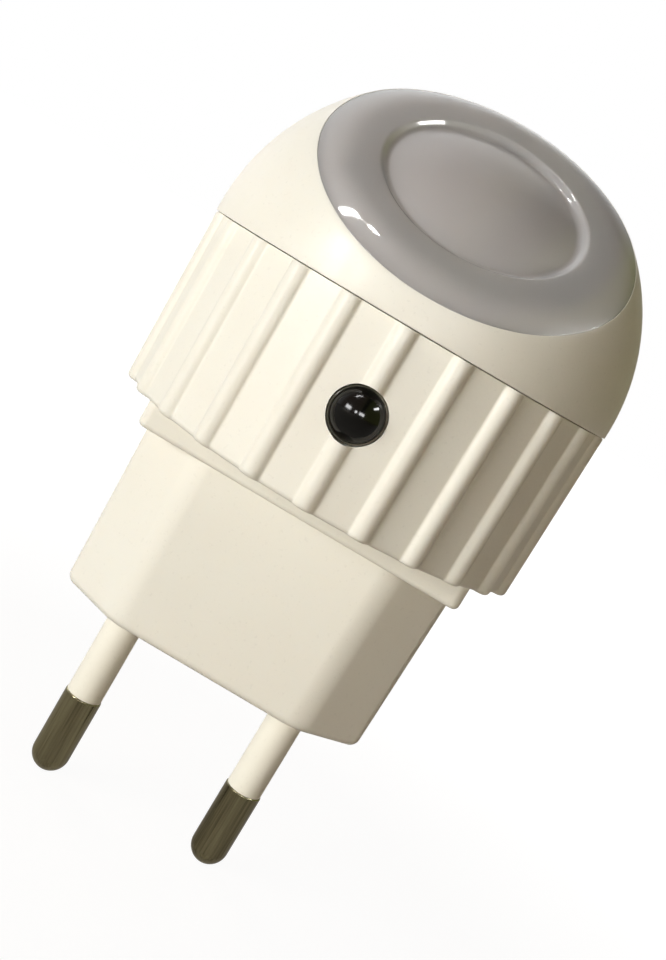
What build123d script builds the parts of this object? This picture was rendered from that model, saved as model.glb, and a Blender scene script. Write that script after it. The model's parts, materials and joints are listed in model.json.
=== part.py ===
from build123d import *
import os
from math import asin, cos, degrees, hypot, radians, sin, sqrt, tan

# A plug-in night light: a two-pin plug block, a ribbed barrel with a light sensor, and a domed
# head that turns on the barrel and carries a slanted, dished lens.
# Millimetres. The origin is the centre of the plug's engagement face, where the pins leave it.
# +Z runs from the pins to the dome, X goes through both pins, and -Y is the front.

# ---- pins (standard two-pin plug) ----
pin_spacing = 19.0
pin_diameter = 4.0
pin_length = 19.0
pin_core_diameter = 3.0
pin_head_diameter = 4.6
pin_head_thickness = 0.8
sleeve_length = 10.0
sleeve_diameter = 3.8
sleeve_root = 2.0
insert_fit = 0.02

# ---- plug block ----
block_height = 18.3
block_half_depth = 6.85
block_half_width_low = 16.85
block_half_width_high = 17.25
block_front_half = 10.5
block_side_half = 1.7
block_wall = 1.6
block_floor = 3.0
block_front_rounding = 3.0
block_side_rounding = 1.0
block_edge_rounding = 0.7
cavity_half_width = 13.0
pin_boss_height = 4.0
pin_boss_wall = 1.7
flange_width = 35.2
flange_depth = 15.2
flange_thickness = 3.25
flange_corner = 1.0
flange_edge = 0.35
spigot_height = 3.0
spigot_wall = 1.1
spigot_fit = 0.1

# ---- ribbed barrel ----
barrel_height = 17.75
barrel_wall = 2.0
barrel_floor = 1.6
barrel_draft = 0.15
barrel_edge_rounding = 0.5
envelope_margin = 0.1
rib_count = 24
rib_height = 0.75
rib_width = 2.0

# ---- light sensor ----
sensor_height = 9.25
bead_radius = 2.6
bead_dome = 1.9
bead_recess = 0.55
bead_fit = 0.2
bead_flange_radius = 3.4
bead_flange_thickness = 1.0
socket_pad = 0.7
socket_depth = 2.0
socket_wall = 0.8
socket_fit = 0.1
photocell_radius = 2.4
photocell_thickness = 1.6
photocell_lead_pitch = 2.54
photocell_lead_reach = 1.1
photocell_lead_root = 0.2

# ---- driver board and its parts ----
board_thickness = 1.6
board_margin = 1.6
board_post_height = 2.85
board_post_radius = 2.1
board_post_circle = 14.2
board_post_count = 4
board_post_root = 0.8
board_front_gap = 0.3
lead_radius = 0.3
lead_tail = 0.8
lead_bend = 0.6
lead_root = 0.3
hole_fit = 0.1
strip_thickness = 0.4
strip_width = 3.0
strip_foot_width = 4.4
strip_head_gap = 0.1
mains_capacitor_size = (11.6, 5.5, 11.0)
mains_lead_pitch = 10.0
mains_capacitor_rounding = 0.6
smoothing_capacitor_radius = 3.15
smoothing_capacitor_height = 6.6
smoothing_capacitor_place = (-8.5, 6.6)
smoothing_lead_pitch = 2.5
smoothing_rounding = 0.4
crimp_height = 1.3
crimp_width = 0.5
crimp_depth = 0.25
bridge_size = (6.4, 4.6, 3.0)
bridge_place = (8.8, 5.3)
bridge_lead_pitch = 5.1
bridge_foot = 0.5
bridge_chamfer = 0.3
fuse_radius = 1.3
fuse_length = 6.6
fuse_place = (7.6, -6.6)
bleed_radius = 0.9
bleed_length = 4.0
bleed_count = 3
bleed_first = 8.4
bleed_pitch = 2.6
resistor_reach = 1.2
resistor_rounding = 0.3
transistor_radius = 2.3
transistor_height = 4.4
transistor_flat = 1.2
transistor_place = (-8.2, -5.6)
transistor_lead_pitch = 1.27
transistor_lift = 1.4

# ---- bearing deck and swivel ----
deck_thickness = 1.5
deck_drop = 0.9
deck_rebate = 0.5
deck_fit = 0.1
snap_height = 0.5
snap_depth = 0.2
neck_wall = 1.95
neck_rise = 0.5
neck_drop = 1.9
hub_radius = 5.0
hub_wall = 1.6
hub_clearance = 0.05
washer_thickness = 0.6
washer_gap = 0.05
washer_fit = 0.25
clip_thickness = 0.6
clip_gap = 0.05
clip_groove_depth = 0.65
clip_outer_radius = 6.6
clip_mouth = 6.4
hub_tail = 0.9
stop_radius = 9.0
stop_length = 2.0
stop_width = 2.0
stop_gap = 0.25

# ---- dome and head base ----
dome_radius = 21.75
dome_wall = 1.8
dome_centre_rise = 0.7
seam_gap = 0.15
base_thickness = 1.2
base_fit = 0.35
dome_post_inset = 2.75
dome_post_radius = 2.2
dome_post_height = 5.4
dome_post_angles = (90.0, 200.0, 340.0)

# ---- lens ----
lens_tilt = 37.8
opening_drop = 6.75
lens_gap = 0.1
lens_wall = 1.4
lens_ledge = 1.15
ledge_depth = 1.6
skirt_gap = 0.1
skirt_wall = 1.2
skirt_depth = 1.0
lens_edge_drop = 0.15
lens_slope_width = 4.65
lens_crest_rise = 2.5
lens_slope_bulge = 0.3
lens_crest_rounding = 1.7
dish_wall_run = 2.2
dish_floor_rise = -0.15
dish_sag = 0.25
dish_corner_rounding = 1.8

# ---- light tray and lamp ----
tray_wall = 1.0
tray_rim_gap = 0.6
tray_rim_depth = 0.2
tray_flare = 2.7
tray_base_gap = 0.83
tray_wire_hole = 2.2
lens_post_offset = 0.3
lens_post_radius = 1.9
lens_post_root = 0.8
lens_post_angles = (90.0, 210.0, 330.0)
lamp_board_gap = 0.6
lamp_board_thickness = 1.0
chip_size = (3.2, 2.6, 0.8)
chip_count = 4
chip_circle = 3.4
chip_chamfer = 0.2
wire_radius = 0.6
wire_pitch = 2.0
wire_bend = 4.5
wire_gap = 0.3

# ---- screws ----
thread_fit = 0.05
plug_screw = dict(shank=0.9, head=1.65, height=0.9, length=9.0)
board_screw = dict(shank=0.9, head=1.7, height=0.9, length=4.0)
head_screw = dict(shank=0.9, head=1.5, height=0.85, length=5.0)
tray_screw = dict(shank=0.7, head=1.3, height=0.7, length=3.0)
pilot_extra = 0.6
recess_width = 0.45
recess_depth = 0.4
point_length = 0.7
point_radius = 0.2

# ---- how far a cutting shape runs past what it cuts, and a joining one into what it joins ----
overrun = 1.0
rooting = 0.5

# ---- levels and radii that follow from the sizes above ----
pin_x = pin_spacing / 2
pin_boss_top = block_floor + pin_boss_height
barrel_bottom = block_height + flange_thickness
seam = barrel_bottom + barrel_height
barrel_floor_top = barrel_bottom + barrel_floor
spigot_top = barrel_bottom + spigot_height
crest_radius = dome_radius
panel_radius = crest_radius - rib_height
barrel_inner = panel_radius - barrel_wall
rebate_radius = barrel_inner + deck_rebate
plug_screw_x = cavity_half_width + spigot_wall + spigot_fit + plug_screw["head"]
sensor_z = barrel_bottom + sensor_height
bead_seat = barrel_inner - socket_pad
bead_back = bead_seat - bead_flange_thickness
photocell_back = bead_back - photocell_thickness
lead_drop_y = photocell_back - photocell_lead_reach
board_bottom = barrel_floor_top + board_post_height
board_top = board_bottom + board_thickness
board_radius = barrel_inner - board_margin
lead_end = board_bottom - lead_tail
strip_x = pin_x + pin_head_diameter / 2 + strip_head_gap + strip_thickness / 2
deck_top = seam - deck_drop
deck_bottom = deck_top - deck_thickness
neck_bore = hub_radius + hub_clearance
neck_radius = neck_bore + neck_wall
neck_top = deck_top + neck_rise
neck_bottom = deck_bottom - neck_drop
base_bottom = neck_top + washer_thickness + washer_gap
base_top = base_bottom + base_thickness
hub_bore = hub_radius - hub_wall
groove_radius = hub_radius - clip_groove_depth
clip_top = neck_bottom - clip_gap
clip_bottom = clip_top - clip_thickness
hub_bottom = clip_bottom - clip_gap - hub_tail
dome_centre = seam + dome_centre_rise
dome_inner = dome_radius - dome_wall
base_radius = dome_inner - base_fit
dome_post_circle = dome_inner - dome_post_inset
# Along the lens axis, distances are counted from the dome's centre.
opening_plane = dome_radius - opening_drop
opening_radius = sqrt(dome_radius**2 - opening_plane**2)
ledge_plane = opening_plane - ledge_depth
throat_radius = opening_radius - lens_ledge
lens_radius = opening_radius - lens_gap
skirt_radius = throat_radius - skirt_gap
skirt_inner = skirt_radius - skirt_wall
skirt_end = ledge_plane - skirt_depth
lens_edge = opening_plane - lens_edge_drop
crest_plane = opening_plane + lens_crest_rise
dish_plane = opening_plane + dish_floor_rise
lens_crest_radius = lens_radius - lens_slope_width
dish_floor_radius = lens_crest_radius - dish_wall_run
lens_post_circle = lens_crest_radius + lens_post_offset
tray_rim_radius = skirt_inner - tray_rim_gap
tray_rim_top = skirt_end - tray_rim_depth
tray_rim_bottom = tray_rim_top - tray_wall
tray_mouth_radius = lens_post_circle - lens_post_radius
tray_floor_radius = tray_mouth_radius - tray_flare
tray_base_level = base_top + tray_base_gap - dome_centre
tray_floor_bottom = tray_base_level / cos(radians(lens_tilt))
tray_floor_bottom += tray_floor_radius * tan(radians(lens_tilt))
tray_floor_distance = tray_floor_bottom + tray_wall
lamp_board_radius = tray_floor_radius - lamp_board_gap
lamp_face = tray_floor_distance + lamp_board_thickness


# ---- helpers ----
def rod(radius, low, high, x=0.0, y=0.0):
    """A round bar along Z between two levels."""
    upright = (Align.CENTER, Align.CENTER, Align.MIN)
    return Pos(x, y, low) * Cylinder(radius, high - low, align=upright)


def bore(radius, low, high, x=0.0, y=0.0):
    """The cutting shape for a round hole right through what lies between two levels."""
    return rod(radius, low - overrun, high + overrun, x, y)


def tube(outer, inner, low, high, x=0.0, y=0.0):
    """A round tube along Z between two levels."""
    return rod(outer, low, high, x, y) - bore(inner, low, high, x, y)


def block(x_size, y_size, low, high, x=0.0, y=0.0):
    """A box that stands between two levels, centred on x and y."""
    upright = (Align.CENTER, Align.CENTER, Align.MIN)
    return Pos(x, y, low) * Box(x_size, y_size, high - low, align=upright)


def turned(*points):
    """A closed polygon of (radius, height) points turned about Z."""
    return revolve(make_face(Plane.XZ * Polyline(*points, close=True)), Axis.Z)


def on_lens_axis(shape):
    """Carries a shape made about Z to the slanted axis of the lens."""
    return Pos(0, 0, dome_centre) * Rotation(lens_tilt, 0, 0) * shape


def lens_axis_point(x, distance):
    """A point beside the lens axis, at a distance along it from the dome's centre."""
    tilt = radians(lens_tilt)
    return x, -distance * sin(tilt), dome_centre + distance * cos(tilt)


def polar(radius, angle):
    """The x and y of a point at a radius and an angle in degrees."""
    return radius * cos(radians(angle)), radius * sin(radians(angle))


def screw(shank, head, height, length):
    """A pan-head screw: the head's underside is at Z = 0, and the shank runs down from it."""
    body = rod(head, 0, height)
    body = fillet(body.edges().group_by(Axis.Z)[-1], height / 2)
    body += rod(shank, point_length - length, 0)
    body += Pos(0, 0, point_length - length) * Rotation(180, 0, 0) * Cone(
        shank, point_radius, point_length, align=(Align.CENTER, Align.CENTER, Align.MIN)
    )
    for turn in (0, 90):
        slot = block(head, recess_width, height - recess_depth, height + overrun)
        body -= Rotation(0, 0, turn) * slot
    return body


def pilot(sizes, depth, low_end):
    """The hole that a screw of these sizes cuts its thread in, from low_end upwards."""
    return rod(sizes["shank"] + thread_fit, low_end, low_end + depth)


def bent_lead(start, corner, end, bend, radius=lead_radius):
    """A round wire from start round one corner to end."""
    path = FilletPolyline(start, corner, end, radius=bend)
    first = Plane(origin=start, z_dir=Vector(*corner) - Vector(*start))
    return sweep(first * Circle(radius), path=path)


def group(shapes):
    """Separate solids kept in one node."""
    return Compound(children=[solid for shape in shapes for solid in shape.solids()])


# ---- plug ----
def block_outline(half_width, half_depth, front_half, side_half):
    """The eight-sided outline of the plug block."""
    quarter = [(half_width, side_half), (front_half, half_depth)]
    points = quarter + [(-x, y) for x, y in reversed(quarter)]
    points += [(-x, -y) for x, y in quarter]
    points += [(x, -y) for x, y in reversed(quarter)]
    return make_face(Polyline(*points, close=True))


def cavity_outline(grow=0.0):
    """The hollow inside the plug block, or that hollow grown by a wall."""
    front = block_front_half - block_wall / 2
    depth = block_half_depth - block_wall
    side = block_side_half + (block_half_width_low - cavity_half_width - block_wall) / 2
    return block_outline(cavity_half_width + grow, depth + grow, front + grow, side + grow)


def make_plug_block():
    low = block_outline(block_half_width_low, block_half_depth, block_front_half, block_side_half)
    high = block_outline(block_half_width_high, block_half_depth, block_front_half, block_side_half)
    body = loft([low, Pos(0, 0, block_height) * high], ruled=True)
    uprights = [edge for edge in body.edges() if edge.bounding_box().size.Z > block_height / 2]
    front = [edge for edge in uprights if abs(edge.center().Y) > block_half_depth / 2]
    body = fillet(front, block_front_rounding)
    uprights = [edge for edge in body.edges() if edge.bounding_box().size.Z > block_height / 2]
    side_limit = (block_front_half + block_half_width_low) / 2
    side = [edge for edge in uprights if abs(edge.center().X) > side_limit]
    body = fillet(side, block_side_rounding)
    body = fillet(body.edges().group_by(Axis.Z)[0], block_edge_rounding)
    flange = block(flange_width, flange_depth, block_height, barrel_bottom)
    flange = fillet(flange.edges().filter_by(Axis.Z), flange_corner)
    flange = fillet(flange.edges().group_by(Axis.Z)[0], flange_edge)
    body += flange
    spigot = extrude(cavity_outline(spigot_wall), spigot_top - block_height)
    body += Pos(0, 0, block_height) * spigot
    body -= Pos(0, 0, block_floor) * extrude(cavity_outline(), spigot_top)
    boss_radius = pin_core_diameter / 2 + pin_boss_wall
    for x in (-pin_x, pin_x):
        body += rod(boss_radius, block_floor - rooting, pin_boss_top, x)
        body -= bore(pin_core_diameter / 2 + insert_fit, 0, pin_boss_top, x)
        body -= rod(sleeve_diameter / 2 + insert_fit, -overrun, sleeve_root + insert_fit, x)
    reach = plug_screw["length"] + pilot_extra
    for x in (-plug_screw_x, plug_screw_x):
        body -= Pos(x, 0, 0) * pilot(plug_screw, reach, barrel_floor_top - reach)
    return body


def make_pin(x):
    radius = pin_diameter / 2
    tip = rod(radius, radius - pin_length, -sleeve_length, x)
    tip += Pos(x, 0, radius - pin_length) * Sphere(radius)
    strip_top = pin_boss_top + strip_thickness
    tip += rod(pin_core_diameter / 2, -sleeve_length - rooting, strip_top, x)
    return tip + rod(pin_head_diameter / 2, strip_top, strip_top + pin_head_thickness, x)


def make_sleeve(x):
    inner = pin_core_diameter / 2 + insert_fit
    return tube(sleeve_diameter / 2, inner, -sleeve_length, sleeve_root, x)


def make_contact(side):
    """A brass strip: a foot riveted under the pin's head, and a tongue up through the board."""
    foot_start = pin_x - pin_head_diameter / 2
    foot_end = strip_x + strip_thickness / 2
    foot_middle = side * (foot_start + foot_end) / 2
    foot_top = pin_boss_top + strip_thickness
    foot = block(foot_end - foot_start, strip_foot_width, pin_boss_top, foot_top, foot_middle)
    tongue = block(strip_thickness, strip_width, pin_boss_top, board_top + wire_gap, side * strip_x)
    hole = bore(pin_core_diameter / 2 + insert_fit, pin_boss_top, foot_top, side * pin_x)
    return foot - hole + tongue


# ---- barrel ----
def barrel_outline(shrink=0.0):
    """The barrel's outline: flat panels parted by round ribs, one of them at the front."""
    ratio = (crest_radius - shrink) / crest_radius
    pitch = 360 / rib_count
    rib_half = degrees(asin(rib_width / 2 / panel_radius))
    root_radius = ratio * panel_radius / cos(radians(pitch / 2 - rib_half))
    edges = []
    for index in range(rib_count):
        middle = index * pitch - 90
        start = polar(root_radius, middle - rib_half)
        crest = polar(ratio * crest_radius, middle)
        end = polar(root_radius, middle + rib_half)
        next_start = polar(root_radius, middle + pitch - rib_half)
        edges += [ThreePointArc(start, crest, end), Line(end, next_start)]
    return make_face(edges)


def board_post_places():
    """Where the posts under the driver board stand."""
    turns = [360 * (index + 0.5) / board_post_count for index in range(board_post_count)]
    return [polar(board_post_circle, turn) for turn in turns]


def board_screw_places():
    """The posts that take a screw: every other one."""
    return board_post_places()[::2]


def make_ribbed_barrel():
    low = Pos(0, 0, barrel_bottom) * barrel_outline(barrel_draft)
    high = Pos(0, 0, seam) * barrel_outline()
    body = loft([low, high], ruled=True)
    envelope = rod(crest_radius + envelope_margin, barrel_bottom, seam + overrun)
    rounding = envelope_margin + barrel_draft + barrel_edge_rounding
    body &= fillet(envelope.edges().group_by(Axis.Z)[0], rounding)
    body -= rod(barrel_inner, barrel_floor_top, seam + overrun)
    body -= rod(rebate_radius, deck_bottom, seam + overrun)
    snap_low = deck_bottom + snap_height
    groove = rebate_radius + snap_depth
    body -= rod(groove, snap_low - deck_fit, snap_low + snap_height + deck_fit)
    body -= extrude(cavity_outline(spigot_wall + spigot_fit), board_bottom)
    for x in (-plug_screw_x, plug_screw_x):
        body -= bore(plug_screw["shank"] + hole_fit, barrel_bottom, barrel_floor_top, x)
        head_room = plug_screw["height"] + hole_fit
        head_radius = plug_screw["head"] + hole_fit
        body -= rod(head_radius, barrel_floor_top, barrel_floor_top + head_room, x)
    for x, y in board_post_places():
        body += rod(board_post_radius, barrel_floor_top - rooting, board_bottom, x, y)
    reach = board_post_height + board_post_root
    for x, y in board_screw_places():
        body -= Pos(x, y, 0) * pilot(board_screw, reach + overrun, board_bottom - reach)
    return body + make_socket() - sensor_bore()


def along_front(shape):
    """Turns a shape made about Z so that Z points out of the front at the sensor's height."""
    return Pos(0, 0, sensor_z) * Rotation(90, 0, 0) * shape


def make_socket():
    """The round socket behind the front wall that the bead is pushed into."""
    outer = bead_flange_radius + socket_fit + socket_wall
    return along_front(rod(outer, bead_seat - socket_depth, barrel_inner + rooting))


def sensor_bore():
    """The hole that shows the bead, and behind it the seat for the bead's flange."""
    seat = rod(bead_flange_radius + socket_fit, bead_seat - socket_depth - overrun, bead_seat)
    return along_front(seat + bore(bead_radius + bead_fit, bead_seat, crest_radius))


def make_sensor_window():
    flange = rod(bead_flange_radius, bead_back, bead_seat)
    shoulder = panel_radius - bead_recess
    stem = rod(bead_radius, bead_back, shoulder)
    ball = (bead_radius**2 + bead_dome**2) / (2 * bead_dome)
    dome = Pos(0, 0, shoulder + bead_dome - ball) * Sphere(ball)
    dome &= rod(bead_radius, shoulder - rooting, shoulder + bead_dome)
    return along_front(flange + stem + dome)


def make_photocell():
    body = along_front(rod(photocell_radius, photocell_back, bead_back))
    for x in (-photocell_lead_pitch / 2, photocell_lead_pitch / 2):
        start = (x, -photocell_back - photocell_lead_root, sensor_z)
        corner = (x, -lead_drop_y, sensor_z)
        body += bent_lead(start, corner, (x, -lead_drop_y, lead_end), lead_bend)
    return body


# ---- driver board ----
def board_lead_places():
    """Where round leads pass through the driver board."""
    half = photocell_lead_pitch / 2
    places = [(-half, -lead_drop_y), (half, -lead_drop_y)]
    places += [(side * mains_lead_pitch / 2, 0.0) for side in (-1, 1)]
    x, y = smoothing_capacitor_place
    places += [(x + side * smoothing_lead_pitch / 2, y) for side in (-1, 1)]
    x, y = bridge_place
    pitch_x, pitch_y = bridge_lead_pitch / 2, bridge_size[1] / 2 - lead_radius
    places += [(x + a * pitch_x, y + b * pitch_y) for a in (-1, 1) for b in (-1, 1)]
    x, y = fuse_place
    reach = fuse_length / 2 + resistor_reach
    places += [(x - reach, y), (x + reach, y)]
    reach = bleed_length / 2 + resistor_reach
    for index in range(bleed_count):
        row = bleed_first + bleed_pitch * index
        places += [(-reach, row), (reach, row)]
    x, y = transistor_place
    places += [(x, y + step * transistor_lead_pitch) for step in (-1, 0, 1)]
    return places


def make_driver_board():
    body = rod(board_radius, board_bottom, board_top)
    front_edge = board_front_gap - (bead_seat - socket_depth)
    low, high = board_bottom - overrun, board_top + overrun
    body -= block(2 * board_radius, board_radius, low, high, 0, front_edge - board_radius / 2)
    for x, y in board_lead_places():
        body -= rod(lead_radius + hole_fit, low, high, x, y)
    for x in (-strip_x, strip_x):
        body -= block(strip_thickness + 2 * hole_fit, strip_width + 2 * hole_fit, low, high, x)
    for x, y in board_screw_places():
        body -= rod(board_screw["shank"] + hole_fit, low, high, x, y)
    return body


def make_mains_capacitor():
    x_size, y_size, z_size = mains_capacitor_size
    body = block(x_size, y_size, board_bottom - z_size, board_bottom)
    body = fillet(body.edges().filter_by(Axis.Z), mains_capacitor_rounding)
    for x in (-mains_lead_pitch / 2, mains_lead_pitch / 2):
        body += rod(lead_radius, board_bottom - rooting, board_top + lead_tail, x)
    return body


def make_smoothing_capacitor():
    x, y = smoothing_capacitor_place
    radius, top = smoothing_capacitor_radius, board_top + smoothing_capacitor_height
    body = rod(radius, board_top, top, x, y)
    body = fillet(body.edges(), smoothing_rounding)
    crimp = board_top + crimp_height
    body -= tube(radius + overrun, radius - crimp_depth, crimp, crimp + crimp_width, x, y)
    for side in (-1, 1):
        lead_x = x + side * smoothing_lead_pitch / 2
        body += rod(lead_radius, lead_end, board_top + rooting, lead_x, y)
    return body


def make_bridge_rectifier():
    x, y = bridge_place
    x_size, y_size, z_size = bridge_size
    foot = board_top + bridge_foot
    body = block(x_size, y_size, foot, foot + z_size, x, y)
    body = chamfer(body.edges().group_by(Axis.Z)[-1], bridge_chamfer)
    pitch_x, pitch_y = bridge_lead_pitch / 2, y_size / 2 - lead_radius
    for a in (-1, 1):
        for b in (-1, 1):
            body += rod(lead_radius, lead_end, foot + rooting, x + a * pitch_x, y + b * pitch_y)
    return body


def make_resistor(radius, length, x, y):
    """An axial resistor that lies on the board, with its leads bent down through it."""
    middle = board_top + radius
    lying = Pos(x, y, middle) * Rotation(0, 90, 0)
    body = lying * fillet(Cylinder(radius, length).edges(), resistor_rounding)
    reach = length / 2 + resistor_reach
    for side in (-1, 1):
        start = (x + side * (length / 2 - lead_root), y, middle)
        corner = (x + side * reach, y, middle)
        body += bent_lead(start, corner, (x + side * reach, y, lead_end), lead_bend)
    return body


def make_fuse_resistor():
    return make_resistor(fuse_radius, fuse_length, *fuse_place)


def make_bleed_resistors():
    rows = [bleed_first + bleed_pitch * index for index in range(bleed_count)]
    return group([make_resistor(bleed_radius, bleed_length, 0.0, row) for row in rows])


def make_switching_transistor():
    x, y = transistor_place
    foot = board_top + transistor_lift
    top = foot + transistor_height
    body = rod(transistor_radius, foot, top, x, y)
    size = 2 * transistor_radius
    flat_x = x - transistor_flat - size / 2
    body -= block(size, size, foot - overrun, top + overrun, flat_x, y)
    for step in (-1, 0, 1):
        body += rod(lead_radius, lead_end, foot + rooting, x, y + step * transistor_lead_pitch)
    return body


def make_board_screws():
    shape = screw(**board_screw)
    return group([Pos(x, y, board_top) * shape for x, y in board_screw_places()])


def make_plug_screws():
    shape = screw(**plug_screw)
    return group([Pos(x, 0, barrel_floor_top) * shape for x in (-plug_screw_x, plug_screw_x)])


# ---- swivel ----
def make_bearing_deck():
    edge = rebate_radius - deck_fit
    body = rod(edge, deck_bottom, deck_top)
    snap_low = deck_bottom + snap_height
    body += turned(
        (edge - rooting, snap_low),
        (edge, snap_low),
        (edge + snap_depth, snap_low + snap_height / 2),
        (edge, snap_low + snap_height),
        (edge - rooting, snap_low + snap_height),
    )
    body += rod(neck_radius, neck_bottom, neck_top)
    body -= bore(neck_bore, neck_bottom, neck_top)
    stop_top = base_bottom - stop_gap
    middle = stop_radius + stop_length / 2
    return body + block(stop_width, stop_length, deck_top - rooting, stop_top, 0, middle)


def make_friction_washer():
    inner = neck_bore + washer_fit
    return tube(neck_radius, inner, neck_top, neck_top + washer_thickness)


def make_head_base():
    body = rod(base_radius, base_bottom, base_top)
    body += rod(hub_radius, hub_bottom, base_bottom + rooting)
    body -= bore(hub_bore, hub_bottom, base_top)
    groove_low, groove_high = clip_bottom - clip_gap, clip_top + clip_gap
    body -= tube(hub_radius + overrun, groove_radius, groove_low, groove_high)
    lug_bottom = deck_top + stop_gap
    middle = -(stop_radius + stop_length / 2)
    body += block(stop_width, stop_length, lug_bottom, base_bottom + rooting, 0, middle)
    for angle in dome_post_angles:
        x, y = polar(dome_post_circle, angle)
        body -= bore(head_screw["shank"] + hole_fit, base_bottom, base_top, x, y)
    return body


def make_swivel_retainer():
    """The spring clip in the hub's groove, with its mouth to the side."""
    body = tube(clip_outer_radius, groove_radius + clip_gap, clip_bottom, clip_top)
    low, high = clip_bottom - overrun, clip_top + overrun
    return body - block(2 * clip_outer_radius, clip_mouth, low, high, clip_outer_radius)


def make_head_screws():
    shape = Rotation(180, 0, 0) * screw(**head_screw)
    places = [polar(dome_post_circle, angle) for angle in dome_post_angles]
    return group([Pos(x, y, base_bottom) * shape for x, y in places])


# ---- dome and lens ----
def solid_dome(radius, low):
    """A ball about the dome's centre with a straight skirt under it, cut off level at low."""
    body = Pos(0, 0, dome_centre) * Sphere(radius) + rod(radius, dome_centre - radius, dome_centre)
    return body - rod(radius + overrun, dome_centre - 2 * radius, low)


def make_dome_shell():
    skirt_bottom = seam + seam_gap
    body = solid_dome(dome_radius, skirt_bottom) - solid_dome(dome_inner, skirt_bottom - overrun)
    posts = []
    for angle in dome_post_angles:
        x, y = polar(dome_post_circle, angle)
        post = rod(dome_post_radius, base_top, base_top + dome_post_height, x, y)
        web_x, web_y = polar(dome_post_circle + dome_wall, angle)
        web = block(2 * dome_wall, dome_post_radius, base_top, base_top + dome_post_height)
        post += Pos(web_x, web_y, 0) * Rotation(0, 0, angle) * web
        posts.append(post & solid_dome(dome_radius - dome_wall / 2, base_top))
    for post in posts:
        body += post
    reach = head_screw["length"] - base_thickness + pilot_extra
    for angle in dome_post_angles:
        x, y = polar(dome_post_circle, angle)
        body -= Pos(x, y, 0) * pilot(head_screw, reach + overrun, base_top - overrun)
    body -= on_lens_axis(rod(opening_radius, ledge_plane, dome_radius + overrun))
    return body - on_lens_axis(rod(throat_radius, 0, dome_radius + overrun))


def lens_section():
    """Half of the lens's wall: a rounded rim that slopes up to a crest, round a shallow dish."""
    edge = (lens_radius, lens_edge)
    crest = (lens_crest_radius, crest_plane)
    corner = (dish_floor_radius, dish_plane)
    run, rise = edge[0] - crest[0], crest[1] - edge[1]
    slope = hypot(run, rise)
    bulge = (
        (edge[0] + crest[0]) / 2 + lens_slope_bulge * rise / slope,
        (edge[1] + crest[1]) / 2 + lens_slope_bulge * run / slope,
    )
    slope_arc = ThreePointArc(edge, bulge, crest).edge()
    wall_line = Line(crest, corner).edge()
    floor_arc = ThreePointArc(corner, (0, dish_plane - dish_sag), (-corner[0], corner[1])).edge()
    outer = Wire([slope_arc, wall_line, floor_arc])
    at_crest = outer.vertices().sort_by_distance(crest)[0]
    outer = outer.fillet_2d(lens_crest_rounding, [at_crest])
    at_corner = outer.vertices().sort_by_distance(corner)[0]
    outer = outer.fillet_2d(dish_corner_rounding, [at_corner])
    wall = make_face(outer.offset_2d(lens_wall, kind=Kind.INTERSECTION, side=Side.LEFT))
    half = Pos(dome_radius, dome_radius) * Rectangle(2 * dome_radius, 2 * dome_radius)
    return half & wall


def make_lens():
    body = revolve(Plane.XZ * lens_section(), Axis.Z)
    body += tube(lens_radius, skirt_inner, ledge_plane, lens_edge)
    body += tube(skirt_radius, skirt_inner, skirt_end, ledge_plane + rooting)
    post_top = lens_edge + lens_post_root
    reach = tray_screw["length"] - tray_wall + pilot_extra
    for angle in lens_post_angles:
        x, y = polar(lens_post_circle, angle)
        body += rod(lens_post_radius, tray_rim_top, post_top, x, y)
        body -= Pos(x, y, 0) * pilot(tray_screw, reach, tray_rim_top)
    return on_lens_axis(body)


def make_light_tray():
    """A white reflector: a rim under the lens's posts, a flared wall and a floor for the lamp."""
    run = tray_mouth_radius - tray_floor_radius
    rise = tray_rim_top - tray_floor_distance
    across = tray_wall * hypot(run, rise) / rise
    body = turned(
        (tray_rim_radius, tray_rim_top),
        (tray_mouth_radius, tray_rim_top),
        (tray_floor_radius, tray_floor_distance),
        (0, tray_floor_distance),
        (0, tray_floor_bottom),
        (tray_floor_radius + across - tray_wall * run / rise, tray_floor_bottom),
        (tray_mouth_radius + across - tray_wall * run / rise, tray_rim_bottom),
        (tray_rim_radius, tray_rim_bottom),
    )
    body -= bore(tray_wire_hole, tray_floor_bottom, tray_floor_distance)
    for angle in lens_post_angles:
        x, y = polar(lens_post_circle, angle)
        body -= bore(tray_screw["shank"] + hole_fit, tray_rim_bottom, tray_rim_top, x, y)
    return on_lens_axis(body)


def make_tray_screws():
    shape = Rotation(180, 0, 0) * screw(**tray_screw)
    places = [polar(lens_post_circle, angle) for angle in lens_post_angles]
    return group([on_lens_axis(Pos(x, y, tray_rim_bottom) * shape) for x, y in places])


def make_lamp_board():
    return on_lens_axis(rod(lamp_board_radius, tray_floor_distance, lamp_face))


def make_lamp_chips():
    x_size, y_size, z_size = chip_size
    chip = chamfer(block(x_size, y_size, 0, z_size).edges().group_by(Axis.Z)[-1], chip_chamfer)
    turns = [360 * (index + 0.5) / chip_count for index in range(chip_count)]
    place = Pos(0, chip_circle, lamp_face)
    return group([on_lens_axis(Rotation(0, 0, turn) * place * chip) for turn in turns])


def make_lamp_wires():
    """Two wires from the lamp board down the swivel's axis, ending just above the driver board."""
    wires = []
    for x in (-wire_pitch / 2, wire_pitch / 2):
        start = lens_axis_point(x, tray_floor_distance)
        end = (x, 0, board_top + wire_gap)
        wires.append(bent_lead(start, (x, 0, dome_centre), end, wire_bend, wire_radius))
    return group(wires)


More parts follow.
